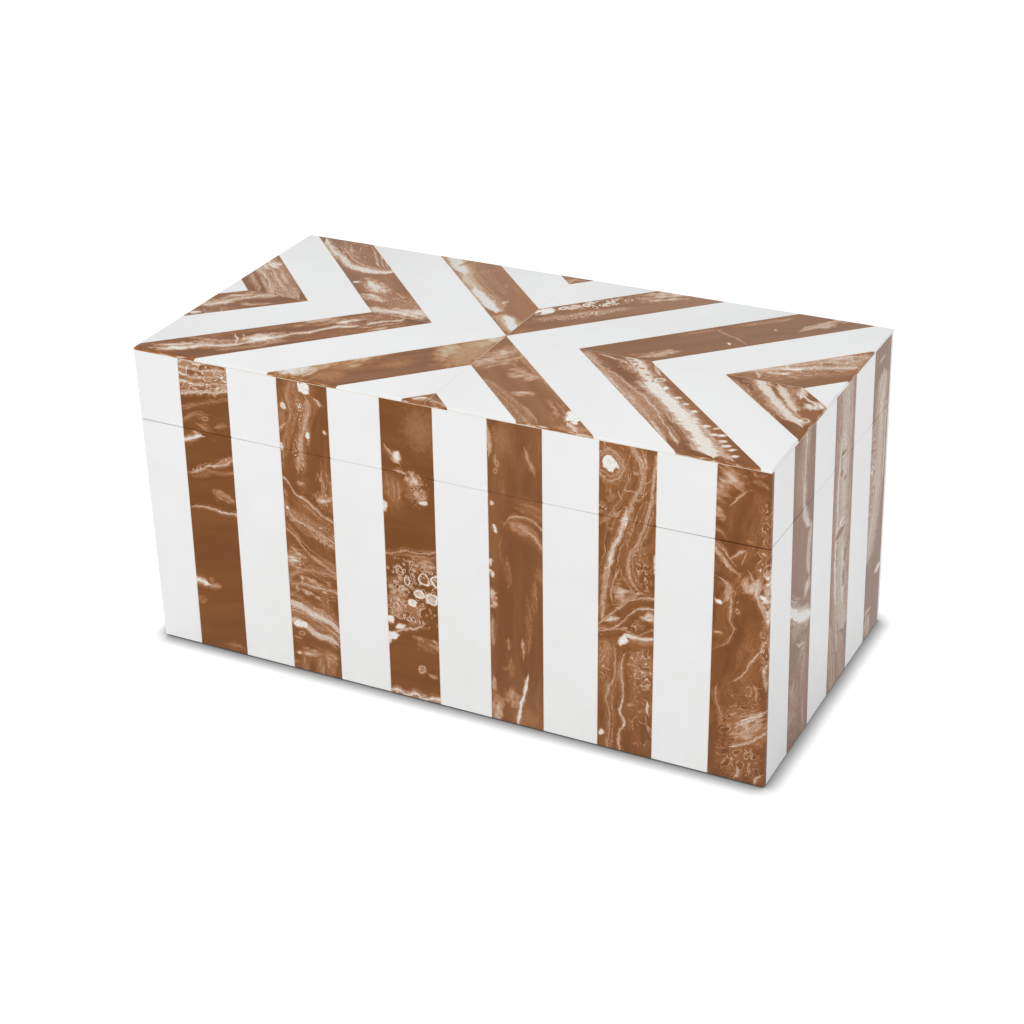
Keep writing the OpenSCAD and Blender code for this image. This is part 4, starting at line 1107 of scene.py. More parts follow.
# which way the quarter lies, its joints on the long and on the short centre line, lean and extra lean
QUARTERS = {
    "front_left": (-1, -1, TIPS_LEFT, TIPS_FRONT, 1.02, 0.07),
    "front_right": (1, -1, TIPS_RIGHT, TIPS_FRONT, 1.025, 0.02),
    "back_left": (-1, 1, TIPS_LEFT, TIPS_BACK, 0.99, 0.0),
    "back_right": (1, 1, TIPS_RIGHT, TIPS_BACK, 1.015, 0.015),
}


def tile_joint(quarter, k, y):
    """How far out joint k of a quarter lies at a distance y from the long centre line."""
    _, _, tips, apexes, lean, fan = QUARTERS[quarter]
    if k > len(tips) or k < -len(apexes):
        return math.copysign(2 * BOX_W, k)
    if k > 0:
        return tips[k - 1] + (lean + fan * (k - 1)) * y
    return lean * (y - (apexes[-k - 1] if k < 0 else 0))


def from_pattern(quarter, x, y):
    """A point of a quarter, given as distances out from the middle of the pattern, as seen from above."""
    side_x, side_y = QUARTERS[quarter][:2]
    return Vector((PATTERN_AT[0] + side_x * x, PATTERN_AT[1] + side_y * y))


def reach(quarter):
    """How far a quarter goes from the middle of the pattern, along the box and across it."""
    side_x, side_y = QUARTERS[quarter][:2]
    return BOX_W / 2 - side_x * PATTERN_AT[0], BOX_D / 2 - side_y * PATTERN_AT[1]


def kept_side(outline, normal, limit):
    """The part of an outline where its points along the normal stay under the limit."""
    kept = []
    for a, b in zip(outline, outline[1:] + outline[:1]):
        da, db = a.dot(normal) - limit, b.dot(normal) - limit
        if da <= 0:
            kept.append(a)
        if da * db < 0:
            kept.append(a.lerp(b, da / (da - db)))
    return kept


def tile_outline(quarter, k):
    """Corners of a tile seen from above, anticlockwise, in millimetres from the middle of the box."""
    side_x, side_y = QUARTERS[quarter][:2]
    corners = ((k, 0), (k + 1, 0), (k + 1, BOX_D), (k, BOX_D))
    outline = [Vector((tile_joint(quarter, n, y), y)) for n, y in corners]
    reach_x, reach_y = reach(quarter)
    for normal, limit in (((-1, 0), 0), ((0, -1), 0), ((1, 0), reach_x), ((0, 1), reach_y)):
        outline = kept_side(outline, Vector(normal), limit)
    outline = [from_pattern(quarter, *p) for p in outline]
    if side_x * side_y < 0:
        outline.reverse()
    return [p for n, p in enumerate(outline) if (p - outline[n - 1]).length > SHORTEST_SIDE]


def on_rim(a, b):
    """Whether the side between two corners lies on the rim of the lid."""
    return any(abs(abs(a[axis]) - limit) < NEAR and abs(a[axis] - b[axis]) < NEAR
               for axis, limit in ((0, BOX_W / 2), (1, BOX_D / 2)))


def drawn_in(outline, by):
    """The outline with each side moved in, those on the rim of the lid left alone."""
    sides = []
    for a, b in zip(outline, outline[1:] + outline[:1]):
        run = (b - a).normalized()
        sides.append((a + Vector((-run.y, run.x)) * (0 if on_rim(a, b) else by), run))
    corners = []
    for (p, r), (q, s) in zip([sides[-1]] + sides[:-1], sides):
        d = q - p
        corners.append(p + r * ((d.x * s.y - d.y * s.x) / (r.x * s.y - r.y * s.x)))
    return corners


def tile_shape(shape, outline):
    """Adds a tile: a prism with its joint arrises eased and its rim rounded."""
    corners = drawn_in(outline, JOINT / 2)
    tile = bmesh.new()
    low, high = ([tile.verts.new((*p, z)) for p in corners] for z in (TILE_Z, BOX_H))
    tile.faces.new(low[::-1])
    tile.faces.new(high)
    for n in range(len(corners)):
        tile.faces.new((low[n - 1], low[n], high[n], high[n - 1]))
    tops = [e for e in tile.edges if all(v.co.z > BOX_H - NEAR for v in e.verts)
            and not on_rim(*(v.co.to_2d() for v in e.verts))]
    bmesh.ops.bevel(tile, geom=tops, offset=ARRIS, segments=1, affect="EDGES")
    for axis, limit in ((0, BOX_W / 2), (1, BOX_D / 2)):
        for side in (-1, 1):
            if any(v.co[axis] * side > limit - LID_ARRIS for v in tile.verts):
                for n in range(1, ARRIS_STEPS + 1):
                    turn = n * math.pi / 2 / ARRIS_STEPS
                    sliced(tile, axis, side * (limit - LID_ARRIS * (1 - math.cos(turn))))
    for vert in tile.verts:
        if vert.co.z > BOX_H - ARRIS - NEAR:
            within = max(0, min(BOX_W / 2 - abs(vert.co.x), BOX_D / 2 - abs(vert.co.y)))
            if within < LID_ARRIS:
                vert.co.z -= LID_ARRIS - math.sqrt(LID_ARRIS ** 2 - (LID_ARRIS - within) ** 2)
    bmesh.ops.recalc_face_normals(tile, faces=tile.faces)
    shape.from_mesh(as_mesh(tile))


# from the brown to the cream where a pour is clear and amber
GOLDEN = tints((150, 97, 56), (166, 112, 66), (181, 140, 100), (196, 166, 134), (208, 192, 170),
               (221, 214, 206), (229, 228, 228))
DUSTY = tints((136, 89, 51), (150, 101, 62), (166, 118, 80))
# the motifs of each brown tile, then its tones, flow and wisps, and its cream tones if they aren't amber
TILE_FIGURES = {("back_left", 3): ([
    *[vein(0.45, 0.7, (-5, 31 + d), (8, 42 + d), (22, 56 + d), (40 - 0.5 * d, 75), body=5, streaks=0.66,
        ragged=0.8, way=-60) for d in (1, 6, 11)],
    vein(1.2, 0.7, (-4, 46), (8, 55), (20, 68), (27, 76), broken=0.3, body=5, streaks=0.8, ragged=1.2),
    cloud((4, 44), (7, 5), 0.95, -44, 0.5, 0.12),
    vein(0.7, 0.6, (-4, 54), (6, 62), (18, 75), body=3, streaks=0.6),
], CHESTNUT, -46, 0.5), ("front_left", 3): ([
    vein(2.2, 0.72, (-4, 99), (3, 95.6), (10, 88.4), (16, 83), (24, 77), (31, 73), broken=0.4, ragged=1.6,
        way=60), cloud((6, 94), (8, 3.6), 0.85, 42, 0.6, 0.1),
    drop((20, 90), (2.2, 1.4), 0.5, 20, 0.5, 0.5),
    vein(0.8, 0.6, (18, 92), (24, 88.4), (31, 84.6), ragged=1.4),
    lace((10, 104), (14, 6), 0.55, 40, 40, 0.3, 2.4, 5, 0.4), drop((3, 107.6), (2.4, 1.4), 0.75, 30, 0.4),
    cloud((10, 81), (10, 5), 0.6, 34), vein(0.8, 0.5, (-2, 86), (6, 80), (12, 75), ragged=1),
], CHESTNUT, 38, 0.3), ("back_left", 1): ([
    vein(2.2, 0.95, (10, 1), (18, 10), (25, 16.6), (33, 22.6), (40, 28.4), (48, 31), (57, 31), (66, 27),
        broken=0.24, body=4, streaks=0.6, ragged=1.5, way=-60),
    vein(0.7, 0.66, (24, 8), (34, 17.4), (44, 24.6), (54, 27.4), (62, 26), ragged=1.2),
    *[vein(0.4, 0.8, (x, 2), (x + 8, 12), (x + 15 - n, 22), (x + 20 - n, 27), ragged=0.8)
        for n, x in enumerate((37, 40.6, 44))], vein(0.4, 0.5, (26, 4), (33, 12), (41, 20), ragged=1),
    vein(0.3, 0.4, (20, 1), (30, 12), (39, 19)),
    lace((32, 12), (18, 11), 0.55, -50, -50, 0.16, 4, 7, 0.4, 0.4),
    cloud((66, 48), (11, 4.6), 0.8, -42, 0.6, 0.12),
    lace((66, 48), (12, 6), 0.95, -30, -34, 0.4, 1.6, 4, 0.46, 0.4),
    drop((54, 46.6), (1.8, 1), 0.8, 10, 0.4), drop((68, 51), (3, 2), 0.7, -30, 0.5, 0.6),
    cloud((82, 52), (5, 2), 0.6, -30), lace((71, 60), (9, 4), 0.95, -8, -8, 0.46, 1.4, 4, 0.5, 0.3),
    cloud((71, 60), (7, 3), 0.9, -8, 0.6, 0.14),
    vein(0.4, 0.6, (70, 54.4), (80, 56), (92, 56.6), ragged=1.2), drop((92, 62), (14, 9), 0.2, -30, 0.7),
    vein(2.6, 0.85, (76, 74), (86, 71.6), (94, 68.6), (103, 66.6), (114, 72), broken=0.3, ragged=1.5,
        way=50), cloud((92, 71), (15, 4.6), 0.9, 4, 0.5, 0.14),
    lace((90, 62), (18, 10), 0.6, -10, -10, 0.34, 2, 5, 0.4),
], DUSTY, -48, 0.3), ("front_left", 1): ([
    vein(1.2, 0.84, (97, 75), (96, 79), (91, 81.6), (87.6, 84.4), (84, 90), broken=0.25, ragged=1.3,
        way=20), vein(0.5, 0.6, (100, 78), (95, 84), (89, 86), ragged=1),
    cloud((75, 89), (6, 3), 0.9, 38, 0.5, 0.14), lace((82, 86), (18, 8), 0.6, 40, 40, 0.34, 2, 5, 0.4),
    vein(1.3, 0.84, (84, 91), (77, 94.6), (71, 98.4), (66, 105), (60, 110), (55, 116), (50, 119),
        (46, 127), broken=0.2, body=3, streaks=0.6, ragged=1.2, way=60),
    cloud((49, 121), (11, 5), 0.9, 44, 0.5, 0.12),
    lace((48, 122), (13, 5), 0.95, 44, 42, 0.4, 1.8, 4, 0.46, 0.3),
    lace((25, 138), (16, 5), 0.9, 34, 34, 0.36, 2.2, 4, 0.46, 0.4),
    vein(1.9, 0.84, (46, 125), (42, 131), (35, 135.6), (26, 139.4), (18, 145), (12, 149), broken=0.24,
        body=4, streaks=0.6, ragged=1.4, way=40),
    vein(0.6, 0.9, (30, 121), (35, 122.4), (39, 127), (40, 132), broken=0.2, ragged=1),
    vein(0.5, 0.8, (37, 119), (41, 124), (42, 129), ragged=1),
    vein(0.5, 0.7, (24, 133), (31, 131), (38, 127), (40, 123), ragged=1.2),
    vein(0.4, 0.6, (42, 116), (46, 121), (43, 128), ragged=1),
    vein(0.5, 0.6, (14, 134), (22, 131.6), (32, 131), ragged=1),
    cloud((20, 142), (12, 4), 0.9, 32, 0.6, 0.12),
    vein(0.4, 0.5, (62, 118), (50, 130), (36, 141), body=3, streaks=0.4),
    cloud((60, 96), (14, 5), 0.5, 42, 0.6, 0.1), cloud((90, 90), (14, 3), 0.5, 42, 0.6, 0.1),
], CHESTNUT, 40, 0.3), ("back_left", -1): ([
    vein(6, 0.5, (78, -8), (86, 3), (95, 14), (104, 24), (113, 33.6), (122, 43), (131, 53), broken=0.04,
        body=8, streaks=0.3, edge=0.3),
    vein(5.8, 0.9, (79, -5), (85, 3), (91, 10.6), (97, 18), broken=0.04, edge=0.4),
    vein(4.6, 0.64, (96, 17), (103, 24), (110, 31), broken=0.04, edge=0.3),
    vein(5, 0.94, (109, 30), (115, 36), (121, 41.6), (127, 47.6), (132.6, 54), broken=0.04, edge=0.4),
    vein(4.8, 0.55, (136, 52), (142, 59.6), (148, 66), (155, 74), broken=0.04, edge=0.2),
    vein(4.4, 0.94, (137.6, 53.6), (142, 59), (148, 66), (155, 73.6), broken=0.04, edge=0.4),
    bare((134.6, 55), (2.2, 5), -30, 0.5, 0.8),
    vein(0.6, 0.7, (133, 60), (135.6, 56.4), (138, 53), broken=0.2), bare((92, 3), (1.3, 6), -20, 0.5, 0.6),
    vein(1.6, 0.24, (94, -3), (97, 8), (103, 16), (113, 26), (123, 35), (131, 42.4), broken=0.1, edge=0.1),
    drop((130.6, 42), (1.5, 2.4), 0.6, -30, 0.5, 0.3),
    vein(0.7, 0.4, (131, 37), (132.4, 43), (134.6, 50), broken=0.2),
    vein(0.4, 0.3, (100, 4), (109, 15), (118, 24), (128, 34), body=4, streaks=0.3),
    vein(0.4, 0.5, (121, 20), (122.6, 22.6), (123.4, 25)), drop((104, 12), (2.6, 9), 0.2, -40, 0.8),
], tints((146, 95, 62), (158, 105, 67), (178, 125, 82)), -46, 0.25, GOLDEN), ("front_left", -1): ([
    drop((142, 96), (10, 20), 0.3, 0, 0.8, 0.1), drop((143, 88), (6, 4.6), 0.46, 42, 0.9, 0.1),
    drop((132.6, 99), (5, 11), 0.5, 12, 0.95, 0.2), drop((146, 80), (5, 4), 0.66, 42, 0.8, 0.2),
    vein(0.8, 0.4, (134, 90), (140, 84), (147, 77), body=4, streaks=0.3),
    drop((97, 131), (15, 7), 0.17, 50, 0.9, 0.4), cloud((97, 129), (13, 6), 0.75, 52, 0.8, 0.06, 60),
    drop((82, 143), (8, 7), 0.8, 42, 0.8, 0.2), drop((80, 146), (6, 4), 0.9, 42, 0.8),
    drop((88, 136), (8, 3.4), 0.46, 46, 0.9, 0.3), drop((118, 122), (8, 4), 0.14, 42, 0.9),
    bare((98, 145), (9, 6.5), 20, 0.3), drop((97, 144), (8, 5), 0.16, 20, 0.6),
    vein(0.6, 0.7, (87.6, 151), (89, 145), (90, 138.6), broken=0.2),
    vein(0.4, 0.3, (92, 152), (93, 145), (96, 140)),
    vein(0.4, 0.4, (84, 137), (98, 124), (112, 113), body=3, streaks=0.4),
], tints((128, 80, 45), (142, 92, 54), (164, 114, 72)), 42, 0.16, GOLDEN), ("back_right", -1): ([
    drop((153, 43.4), (4.6, 3.2), 1, 50, 0.4, 0.2), bare((151.6, 46.4), (1, 1.4), 0, 0.3, 0.8),
    rings((171, 26.4), (18, 4.4), 0.95, 42, 0.3, 0.17, 0.3),
    loop((158.6, 36.6), (2.7, 1.6), 0.95, 55, 0.5, 0.2),
    loop((167.6, 29.6), (1.8, 2.6), 0.85, 20, 0.45, 0.1), loop((176, 21.8), (2.8, 1.5), 0.9, 70, 0.5),
    lace((171, 40), (23, 3.2), 0.85, 42, -48, 0.34, 2, 5, 0.5, 0.3),
    vein(0.7, 0.5, (152, 54), (160, 47), (170, 38.6), (180, 31), (188, 23), body=4, streaks=0.5, ragged=2,
        way=-50), vein(0.6, 0.62, (164, 61), (170, 55), (176, 50), (184, 45), ragged=2, way=-50),
    cloud((197, 6), (12, 6), 0.7, 30, 0.7, 0.12), lace((192, 8), (14, 7), 0.5, 40, 10, 0.4, 2, 4, 0.4),
    vein(0.4, 0.5, (151, 53.4), (154.6, 52.4), (157, 49.6)), drop((153, 68), (3, 5), 0.16, 0, 0.8),
], DUSTY, 40, 0.25), ("back_right", 1): ([
    vein(0.5, 0.46, (231, 30.6), (237, 34), (245, 38), (253, 43.4), broken=0.4, body=1.4, streaks=0.16),
    vein(1.7, 0.62, (267, 20), (271, 14), (275.4, 8), (281, -3), broken=0.5, body=3, streaks=0.5,
        ragged=2.2, way=20), cloud((277, 8), (8, 3), 0.7, 52, 0.6, 0.12),
    vein(1.2, 0.72, (212, 75), (217, 70.6), (222, 65), (228, 59), broken=0.5, ragged=2.2, way=20),
    cloud((220, 66), (7, 3), 0.6, 42, 0.6, 0.1),
    vein(0.7, 0.42, (238, 27), (246, 20), (254, 12), (262, 5), broken=0.5, body=3, streaks=0.4, ragged=1.4),
    drop((243.6, 44.4), (0.7, 1.2), 1, 20, 0.3),
    vein(0.5, 0.3, (218, 46), (230, 36), (236, 30), body=3, streaks=0.3, ragged=1),
    drop((257, 22), (0.7, 1.2), 0.5, 20, 0.4), cloud((214, 70), (6, 3), 0.4, 20),
], DUSTY, 42, 0.08), ("back_right", 3): ([
    *[vein(0.7, 0.62, (254 + a, 75 - a), (268 + a, 61 - 0.7 * a), (288, 45 + 0.1 * a), (308, 30 + 0.9 * a),
        body=4, streaks=0.7, ragged=1.4, way=70) for a in (0, 5, 10)],
    vein(1.6, 0.85, (262, 68), (274, 60), (282, 56), (292, 52), (306, 46), broken=0.4, body=4, streaks=0.7,
        ragged=1.6, way=60), lace((284, 54), (28, 12), 0.8, 37, 37, 0.3, 3.4, 5, 0.46, 0.4),
    drop((290, 44), (22, 5), 0.3, 34, 0.7, 0.5), cloud((276, 61), (11, 4), 0.95, 30, 0.5, 0.14),
    cloud((298, 40), (10, 5), 0.7, 38, 0.5, 0.12),
    vein(0.7, 0.8, (263, 64), (266, 68), (269, 74), ragged=1),
    vein(0.4, 0.6, (258, 72), (262, 69), (268, 66)),
], tints((136, 90, 52), (152, 106, 66), (174, 128, 84)), 37, 0.5), ("front_right", 1): ([
    drop((236, 116), (20, 5.4), 0.26, -49, 0.6, 0.3),
    vein(0.6, 0.5, (186, 78), (202, 92), (220, 108), (238, 126), (258, 148), body=7, streaks=0.75),
    vein(0.5, 0.8, (206, 90), (222, 102), (232, 110), (244, 123), (262, 146), broken=0.3, body=3,
        streaks=0.5, ragged=1.2, way=-10),
    vein(0.4, 0.75, (194, 77), (208, 80), (216, 86), (220, 89), ragged=1),
    vein(0.35, 0.6, (205, 77), (212, 83), (218, 87), ragged=1),
    lace((214, 82), (9, 6), 0.8, -48, -48, 0.36, 2, 5, 0.4),
    vein(3.8, 0.84, (208, 72), (214, 78), (221, 86), (227, 93), (232, 99), broken=0.14, ragged=1.5, way=0,
        edge=0.45),
    vein(5.2, 0.88, (226, 92), (233, 100), (241, 108), (249, 116), (255, 122), broken=0.04, body=8,
        streaks=0.6, ragged=1.4, way=4, edge=0.55),
    vein(5.8, 0.86, (245, 112), (253, 120), (262, 129.6), (269, 138), (275, 145), (280, 151), broken=0.06,
        body=9, streaks=0.6, ragged=1.6, way=6, edge=0.45),
    vein(2.2, 0.7, (274, 141), (281, 146), (289, 151), broken=0.4, ragged=1.6, way=6),
    vein(0.6, 0.4, (230, 97), (238, 106), (246, 115), (256, 126), (266, 139), broken=0.2),
    *[bare(at, size, 0, 0.5, 0.6) for at, size in (
        ((210.6, 76.6), (1.2, 0.9)), ((213.6, 79), (1.4, 1.2)), ((216, 82), (0.8, 1.2)),
        ((218.6, 83.6), (1.3, 0.9)), ((222, 92), (1, 1.3)), ((225.6, 94.6), (0.9, 0.7)),
        ((219.6, 90), (1, 1.4)), ((224, 88.6), (1.2, 0.8)), ((228.6, 93.6), (0.8, 1.4)))],
    loop((231, 91.4), (2.8, 2.2), 0.9, 20, 0.4, 0.3),
    vein(0.8, 0.85, (222, 77), (226, 83), (230, 88), ragged=1.2), drop((236.6, 98), (1.4, 2), 0.95, 0, 0.4),
    *[drop(at, (1.8, 1.1), 0.84, 24, 0.6) for at in (
        (245, 105), (250, 109.6), (256.4, 115), (255, 118), (259.6, 121.6), (266, 125.6), (271, 126),
        (271.6, 131.6), (274.6, 131), (280, 139.6), (277, 136), (284, 141.6), (287, 146.6))],
], CHESTNUT, -45, 0.3), ("front_right", 3): ([
    vein(3.6, 0.85, (266, 68), (272, 77), (278, 85), (285, 93), (292, 101), (302, 111), broken=0.16,
        body=5, streaks=0.7, ragged=0.9, way=-50, edge=0.4),
    vein(2.4, 0.8, (278, 75), (283, 82), (289, 90), (296, 100), broken=0.2, ragged=0.9, way=-55),
    bare((281.6, 84.6), (9, 0.9), -50, 0.4, 0.7), drop((287, 82), (9, 4), 0.26, -50, 0.6, 0.4),
    vein(1.8, 0.9, (288, 74), (291, 80), (292.6, 86), broken=0.3, ragged=1.6, way=20),
    vein(1.2, 0.9, (292, 82), (297, 86), (300.6, 90), (300, 95), broken=0.3, ragged=1.6, way=40),
    cloud((301, 90), (4, 5), 0.9, -50, 0.5, 0.14), loop((301, 105), (2.2, 2.4), 0.7, 0, 0.4, 0.3),
    drop((299, 106), (1.2, 1), 0.9), lace((276, 92), (22, 4), 0.6, -48, -48, 0.3, 3, 5, 0.4),
    vein(0.4, 0.5, (258, 77), (272, 93), (290, 113), body=3, streaks=0.5, ragged=1),
    vein(0.3, 0.4, (286, 96), (294, 104), (302, 112)),
], CHESTNUT, -48, 0.3), ("front_right", -1): ([
    drop((155, 97), (6, 14), 0.4, -24, 0.95, 0.4), cloud((156, 98), (7, 14), 0.62, -24, 0.9, 0.1, 46),
    drop((153, 103), (3, 8), 0.5, -20, 0.95, 0.4), cloud((165, 91), (11, 7), 0.45, -45, 0.9),
    drop((176, 109), (6, 3.6), 0.42, -16, 0.95, 0.5), cloud((175, 109), (7, 5), 0.75, -16, 0.9, 0.08, 40),
    cloud((168, 102), (14, 6), 0.4, -44, 0.9), cloud((183, 127), (5, 2.4), 0.7, 12, 0.9, 0.1),
    drop((183, 127), (2.4, 1), 0.42, 12, 0.9, 0.5),
    *[vein(0.4, 0.42, (157 + 7 * n, 84 + 6.4 * n), (168 + 7 * n, 95 + 6.4 * n),
        (178 + 7 * n, 105 + 6.4 * n), body=4, streaks=0.4) for n in range(5)],
    *[vein(0.4, 0.42, (160 + 2 * n, 120 + 4 * n), (174 + 2 * n, 129 + 4 * n), (188, 139 + 4 * n),
        (202, 151 + 4 * n), body=3, streaks=0.4) for n in range(3)],
    cloud((206, 138), (12, 5), 0.45, -46, 0.8, 0.1), drop((218, 150), (9, 4), 0.26, 10, 0.8, 0.2),
    drop((213, 139), (3.2, 6.4), 1, 36, 0.16, 0),
    vein(1.4, 0.7, (212, 144), (216, 148), (221, 152), broken=0.1, edge=0.2),
    vein(0.4, 0.5, (196, 126), (204, 133), (209, 139), ragged=1),
], tints((138, 91, 53), (152, 103, 62), (170, 121, 80)), -46, 0.2), ("back_left", -3): ([
    cloud((146, 6), (9, 6), 0.6, 20), lace((145, 5), (9, 6), 0.3),
], DUSTY, 0, 0.3), ("back_right", -3): ([
    cloud((156, 5), (9, 5), 0.5, -20),
], DUSTY, 0, 0.25), ("front_left", -3): ([
    cloud((144, 146), (6, 4), 0.8, 20, 0.5, 0.1), drop((144, 149), (5, 2), 0.25),
], CHESTNUT, 20, 0.2), ("front_right", -3): ([
    cloud((156, 148), (7, 4), 0.5, -20),
], CHESTNUT, -20, 0.2)}

for quarter in QUARTERS:
    whites = bmesh.new()
    for k in (-2, 0, 2, 4):
        tile_shape(whites, tile_outline(quarter, k))
    mesh_piece(f"lid_top_{quarter}_white", whites, white_resin, "lid",
               [f"lid_top_{quarter}_white_tiles"])
    for k in (-3, -1, 1, 3):
        figure, tone, flow, wisps, *cream_tones = TILE_FIGURES[quarter, k]
        brown = bmesh.new()
        outline = tile_outline(quarter, k)
        tile_shape(brown, outline)
        middle = sum(outline, Vector((0, 0))) / len(outline)
        resin = marbled(f"Marbled resin {quarter} {k}", "top", 50.0 + 3 * k + 11 * len(quarter), figure, tone,
                        flow, wisps, (middle.x + BOX_W / 2, BOX_D / 2 - middle.y), None, *cream_tones)
        mesh_piece(f"lid_top_{quarter}_brown_{(k + 5) // 2}", brown, resin, "lid",
                   [f"lid_top_{quarter}_brown_tiles"])

LINE_END = 0.5  # how far from the rim the joint lines end
joints = []
for quarter, (_, _, tips, apexes, *_) in QUARTERS.items():
    reach_x, reach_y = (limit - LINE_END for limit in reach(quarter))
    for k in range(-len(apexes), len(tips) + 1):
        inner, outer = (Vector((tile_joint(quarter, k, y), y)) for y in (0, BOX_D))
        run = outer - inner
        shares = max(0, -inner.x / run.x), min(reach_y / BOX_D, (reach_x - inner.x) / run.x)
        joints.append([from_pattern(quarter, *(inner + run * share)) for share in shares])
joints += [[(side * (BOX_W / 2 - LINE_END), PATTERN_AT[1]) for side in (-1, 1)],
           [(PATTERN_AT[0], side * (BOX_D / 2 - LINE_END)) for side in (-1, 1)]]
lines = bmesh.new()
for ends in joints:
    a, b = (Vector((*end, 0)) for end in ends)
    across = (b - a).normalized().cross(Vector((0, 0, 1))) * LINE_W
    sliver(lines, a, b, across, (0, 0, TILE_Z + 0.1), (0, 0, BOX_H - LINE_DEEP))
mesh_piece("lid_top_joint_lines", lines, filler, "lid")

# ---- Lining ---------------------------------------------------------------------------------------
# Short-pile velvet stuck over thin card: one sheet on the floor, one under the lid board, and one on
# each wall, stopping a little short of the saw cut. The pile is pressed one way here and there.

WALL_T, BOARD_T, LINING_T, LINING_DROP = 8.0, 6.0, 1.0, 2.0
FLOOR_Z = FELT_T + BOARD_T
ROOM_W, ROOM_D = BOX_W - 2 * RESIN_T - 2 * WALL_T, CORE_D - 2 * WALL_T
CEILING_Z = BOX_H - RESIN_T - BOARD_T

velvet, shader = new_finish("Wine red velvet", 0.85, **{
    "Sheen Weight": 0.7, "Sheen Roughness": 0.35, "Sheen Tint": tint(214, 120, 120)})
spot = in_mm(shader)
pile = grains(spot, 4.5, 2, 0.6)
pressed = eased(grains(spot * (1, 0.6, 1.4), 0.045, 3, 0.6, 4.0), 0.38, 0.62)
colour = blend(pressed, tint(92, 16, 26), tint(128, 28, 40))
fed(shader, {"Base Color": blend(eased(pile, 0.4, 0.75, 0, 0.5), colour, tint(62, 8, 16))})
bumped(shader, pile, 0.4, 0.0002)


def sheet(tier, place, low, high, turns, seed):
    """One sheet of the lining between two corners, made for the front and turned to its wall."""
    board = facing(soft_board(low, high, 4, 0.3, 0.1, seed), turns)
    mesh_piece(f"velvet_{tier}_{place}", board, velvet, tier, [f"{tier}_{place}_lining"])


for tier, flat, flat_z, low, high in (
        ("base", "floor", FLOOR_Z, FLOOR_Z + LINING_T, BASE_TOP - LINING_DROP),
        ("lid", "ceiling", CEILING_Z - LINING_T, LID_LOW + LINING_DROP, CEILING_Z - LINING_T)):
    corners = [(side * ROOM_W / 2, side * ROOM_D / 2) for side in (-1, 1)]
    sheet(tier, flat, (*corners[0], flat_z), (*corners[1], flat_z + LINING_T), 0, low)
    for turns, wall in enumerate(WALLS):
        half, back = (ROOM_D / 2 - LINING_T, ROOM_W / 2) if turns % 2 else (ROOM_W / 2, ROOM_D / 2)
        sheet(tier, wall, (-half, -back, low), (half, LINING_T - back, high), turns, low + 3 * turns)

# ---- Hinges ---------------------------------------------------------------------------------------
# Two brass stop hinges let into the sawn edges of the back wall. The base leaf has three knuckles and
# the lid leaf two, and their bevelled tails meet behind the pin at 95 degrees and stop the lid.

SCREW_Y = BOX_D / 2 - RESIN_T - (LEAF_W - RESIN_T) / 2
METAL_SMOOTH = 32


def brushed(name, dark, light, roughness, grain):
    """A metal drawn or brushed along the box, a little tarnished in its hollows."""
    material, shader = new_finish(name, roughness, 1.0)
    spot = in_mm(shader)
    scratches = grains(spot * grain, 1.0, 4, 0.7)
    tarnish = eased(grains(spot, 0.22, 3, 0.6, 8.0), 0.42, 0.68, 0, 0.6)
    dull = tuple((a + b) / 2 for a, b in zip(dark, tint(92, 66, 40)))
    worn = eased(scratches, 0.3, 0.7, roughness - 0.06, roughness + 0.1)
    fed(shader, {"Base Color": blend(tarnish, blend(eased(scratches, 0.3, 0.7), dark, light), dull),
                 "Roughness": worn + tarnish * 0.2})
    bumped(shader, scratches, 0.12, 0.0001)
    return material


def refined(node, arris):
    """A merged copy of a CAD node's mesh in millimetres, its sharp edges eased."""
    shape = as_shape(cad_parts[node].data)
    bmesh.ops.scale(shape, vec=(1 / MM,) * 3, verts=shape.verts)
    bmesh.ops.remove_doubles(shape, verts=shape.verts, dist=0.002)
    bmesh.ops.dissolve_limit(shape, angle_limit=math.radians(1), verts=shape.verts, edges=shape.edges)
    bmesh.ops.bevel(shape, geom=sharp_edges(shape, 50), offset=arris, segments=2, affect="EDGES",
                    clamp_overlap=True)
    return shape


brass = brushed("Brushed hinge brass", tint(176, 136, 74), tint(206, 168, 100), 0.32, (0.5, 7, 7))
for side in HINGES:
    for tier in ("base", "lid"):
        leaf = f"hinge_{side}_{tier}_leaf"
        mesh_piece(f"hinge_{side}_{tier}_plate", refined(leaf, 0.1), brass, tier, [leaf],
                   smooth=METAL_SMOOTH)

# ---- Hinge pins -----------------------------------------------------------------------------------
# Drawn steel wire, 2 mm thick, held tight in the base knuckles, its ends domed over.

PIN_R = 0.99
PIN_BEHIND = 2.3  # how far the pin's middle stands out from the back
PIN_DOME = [(0, 0), (0.5, 0.06), (0.86, 0.22), (PIN_R, 0.5)]


def turned_part(profile, segments=32):
    """A body turned about Z from its profile of radius and height, both ends on the axis."""
    shape = bmesh.new()
    circles = []
    for r, z in profile:
        angles = [2 * math.pi * n / segments for n in range(1 if r < 1e-6 else segments)]
        circles.append([shape.verts.new((r * math.cos(angle), r * math.sin(angle), z)) for angle in angles])
    for a, b in zip(circles, circles[1:]):
        for n in range(segments):
            corners = [a[n % len(a)], a[(n + 1) % len(a)], b[(n + 1) % len(b)], b[n % len(b)]]
            shape.faces.new([v for i, v in enumerate(corners) if v not in corners[:i]])
    bmesh.ops.recalc_face_normals(shape, faces=shape.faces)
    return shape


